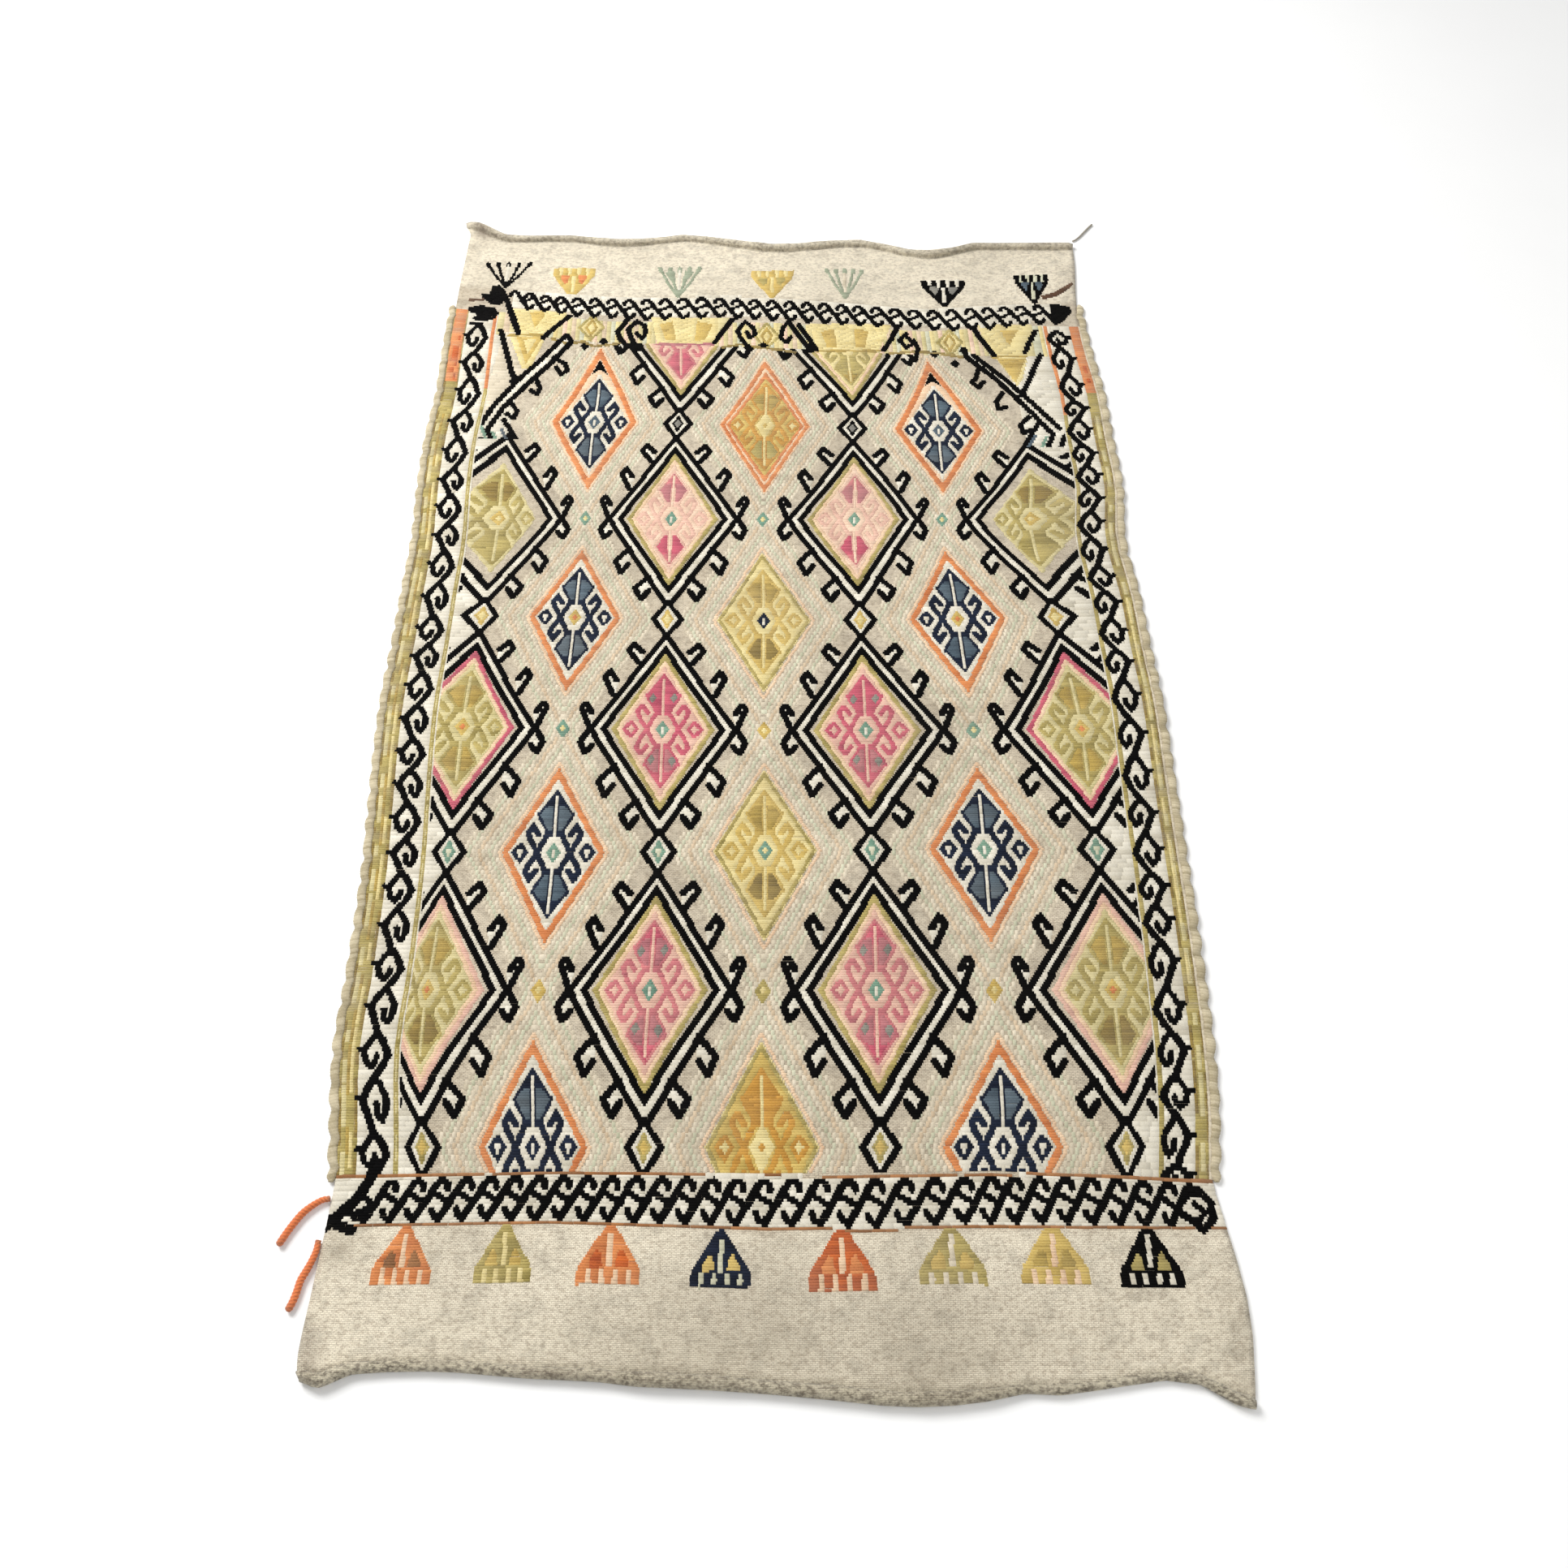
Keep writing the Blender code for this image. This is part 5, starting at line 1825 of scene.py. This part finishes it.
@dataclass
class LooseYarn:
    """A loose end of plied yarn that lies on the floor."""
    name: str
    node: str
    slot: str
    route: Points
    thickness: float
    finish: YarnFinish
    plies: int = 3
    twist: float = 0.011
    root: float = 0.006
    frayed: float = 0.0035
    around: int = 18
    steps: int = 12
    footprint: Place = (0.00187, -0.0097)

    def points(self) -> list[Vector]:
        """Places at an even spacing on a smooth curve through the yarn's own points.

        Returns:
            The centreline, on the floor.
        """
        shift = Vector((*self.footprint, 0.0))
        own = [Vector((x, y, self.thickness / 2)) + shift for x, y in self.route]
        fine = []
        for before, start, end, after in zip([own[0], *own], own, own[1:], [*own[2:], own[-1]]):
            for step in range(self.steps):
                t = step / self.steps
                fine.append(0.5 * (2 * start + (end - before) * t
                                   + (2 * before - 5 * start + 4 * end - after) * t**2
                                   + (3 * start - before - 3 * end + after) * t**3))
        return fine + [own[-1]]

    def build(self) -> Piece:
        """Returns:
            The yarn's piece.
        """
        line = self.points()
        length = sum((b - a).length for a, b in zip(line, line[1:]))
        rings, ply_light_and_shade, ends_and_ply_shade, walked = [], [], [], 0.0
        for k, place in enumerate(line):
            ahead = line[min(k + 1, len(line) - 1)] - line[max(k - 1, 0)]
            walked += (line[k] - line[k - 1]).length if k else 0.0
            side = Vector((-ahead.y, ahead.x, 0)).normalized()
            tip = max(0.0, 1 - (length - walked) / self.frayed)
            thin = 1 - 0.18 * float(1 - smoothstep(0, length * 0.5, walked))
            thin *= math.sqrt(1 - 0.86 * tip * tip)
            # Darker towards the frayed tip and where the yarn leaves the rug.
            darker_ends = (0.7 * float(smoothstep(length - 0.012, length, walked))
                    + 0.9 * float(1 - smoothstep(0, self.root, walked)))
            for angle in np.arange(self.around) * 2 * math.pi / self.around:
                ply = abs(math.cos(self.plies / 2 * (angle - 2 * math.pi * walked / self.twist)))
                radius = self.thickness / 2 * (0.80 + 0.20 * ply) * thin
                rings.append(place + side * (radius * math.cos(angle))
                             + Vector((0, 0, radius * math.sin(angle))))
                # Painted light and shade on the plies: lighter on their crowns, darker in the
                # grooves between them.
                ply_light_and_shade.append(0.2 + 0.7 * ply)
                ends_and_ply_shade.append(darker_ends + 0.5 * (1 - ply))
        faces = np.concatenate(tube_faces(len(line), self.around))
        piece = new_piece(self.name, np.array(rings), faces, self.finish.material())
        give_values(piece, "tint", np.array(ply_light_and_shade))
        give_values(piece, "soil_and_shade", np.clip(np.array(ends_and_ply_shade), 0, 1))
        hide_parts(self.node)
        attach(piece, BODY)
        LOG.info("%s: %.1f mm of yarn", self.name, length * 1000)
        return piece


@dataclass
class Studio:
    """A plain pale floor, soft light and the camera at the photograph's angle."""
    camera_place: tuple[float, float, float] = (0.0148, -1.1004, 1.5)
    tilt: float = 32.4
    lens: float = 36.0
    sensor: float = 36.0
    floor_half: float = 6.0
    floor_height: float = -0.0004
    floor_tones: tuple[Colour, Colour] = ((250, 250, 249), (244, 244, 243))
    air: float = 0.38

    def build(self) -> None:
        """Builds the floor, the lights and the camera."""
        corners = [(x * self.floor_half, y * self.floor_half, self.floor_height)
                   for x, y in ((-1, -1), (1, -1), (1, 1), (-1, 1))]
        bench = Bench("pale_floor")
        tone = bench.mix(bench.noise(3.0, 3.0), *(linear(tone) for tone in self.floor_tones))
        bench.feed(bench.shader, {"Base Color": tone, "Roughness": 0.9})
        floor = new_piece("studio_floor", np.array(corners), np.array([[0, 1, 2, 3]]),
                          bench.material)
        self.light("key", (-1.7, 1.3, 2.2), 1.8, 118.0)
        self.light("fill", (1.4, -1.6, 2.4), 3.0, 34.0)
        scene = bpy.context.scene
        scene.world = bpy.data.worlds.new("studio_air")
        scene.world.use_nodes = True
        air = scene.world.node_tree.nodes["Background"]
        air.inputs["Color"].default_value = (1.0, 1.0, 1.0, 1.0)
        air.inputs["Strength"].default_value = self.air
        scene.view_settings.view_transform = "Standard"
        data = bpy.data.cameras.new("photograph")
        data.sensor_width, data.lens = self.sensor, self.lens
        scene.camera = bpy.data.objects.new("photograph", data)
        scene.camera.location = self.camera_place
        scene.camera.rotation_euler = (math.radians(self.tilt), 0.0, 0.0)
        scene.collection.objects.link(scene.camera)

    def light(self, name: str, place: tuple[float, float, float], size: float,
              power: float) -> None:
        """Hangs a soft square light that faces the rug.

        Args:
            name: Its name.
            place: Where it hangs.
            size: Its side.
            power: Its power.
        """
        data = bpy.data.lights.new(name, "AREA")
        data.shape = "SQUARE"
        data.size = size
        data.energy = power
        lamp = bpy.data.objects.new(name, data)
        lamp.location = place
        lamp.rotation_euler = (-Vector(place)).to_track_quat("-Z", "Y").to_euler()
        bpy.context.scene.collection.objects.link(lamp)


ORANGE_YARN = YarnFinish("loose_orange_wool", (232, 132, 76), (186, 84, 40), ply=1100.0,
                         relief=0.0008, soil_and_shade_tone=(120, 100, 84))
CORNER_YARN = YarnFinish("loose_grey_wool", (168, 162, 148), (104, 98, 88), ply=1100.0,
                         relief=0.0005)
UPPER_END = ((-0.4265, -0.6165), (-0.4335, -0.6177), (-0.4415, -0.6225), (-0.4500, -0.6300),
             (-0.4565, -0.6390), (-0.4630, -0.6500), (-0.4690, -0.6620))
LOWER_END = ((-0.4311, -0.6570), (-0.4318, -0.6665), (-0.4345, -0.6765), (-0.4383, -0.6860),
             (-0.4420, -0.6945), (-0.4440, -0.7055), (-0.4465, -0.7150), (-0.4500, -0.7230))
CORNER_END = ((0.4312, 0.7925), (0.4350, 0.7948), (0.4392, 0.7988), (0.4440, 0.8045),
              (0.4488, 0.8110), (0.4540, 0.8180), (0.4590, 0.8245), (0.4640, 0.8305))


def main() -> None:
    """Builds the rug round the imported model, piece by piece."""
    logging.basicConfig(level=logging.INFO, format="%(message)s")
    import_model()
    Studio().build()
    for name, slot, route, thickness, finish in (
            ("upper_orange_yarn", "orange_wool", UPPER_END, 0.0074, ORANGE_YARN),
            ("lower_orange_yarn", "orange_wool", LOWER_END, 0.0074, ORANGE_YARN),
            ("corner_grey_yarn", "grey_wool", CORNER_END, 0.003, CORNER_YARN)):
        node = name.split("_")[0] + "_yarn_end"
        LooseYarn(name, node, slot, route, thickness, finish).build()
    form, wear = RugForm(), Wear()
    cloth = GroundCloth(form, wear).build()
    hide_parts("kilim_sheet")
    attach(cloth, BODY)
    LOG.info("ground cloth: %d faces", len(cloth.data.polygons))
    chart = Chart(form)
    inside = (SIDE_ZONES[0], BAND_TOP + 2.7, CHART_WIDTH - SIDE_ZONES[1], SEAM)
    Field(Brush(chart, Space.CHART, inside)).weave()
    upper = UpperZone(chart)
    for weave in (upper.weave, FlapMotifs(chart).weave, Borders(chart).weave, upper.finish_ends):
        weave()
    brocade = Brocade(chart, wear)
    trims = [brocade.build(dye) for dye in Dye if dye is not Dye.GROUND]
    trims = [piece for piece in trims if piece] + [OvercastEdge(form, side).build()
                                                   for side in (0, 1)]
    for piece in trims:
        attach(piece, BODY)
        LOG.info("%s: %d faces", piece.name, len(piece.data.polygons))
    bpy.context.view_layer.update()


if __name__ == "__main__":
    main()
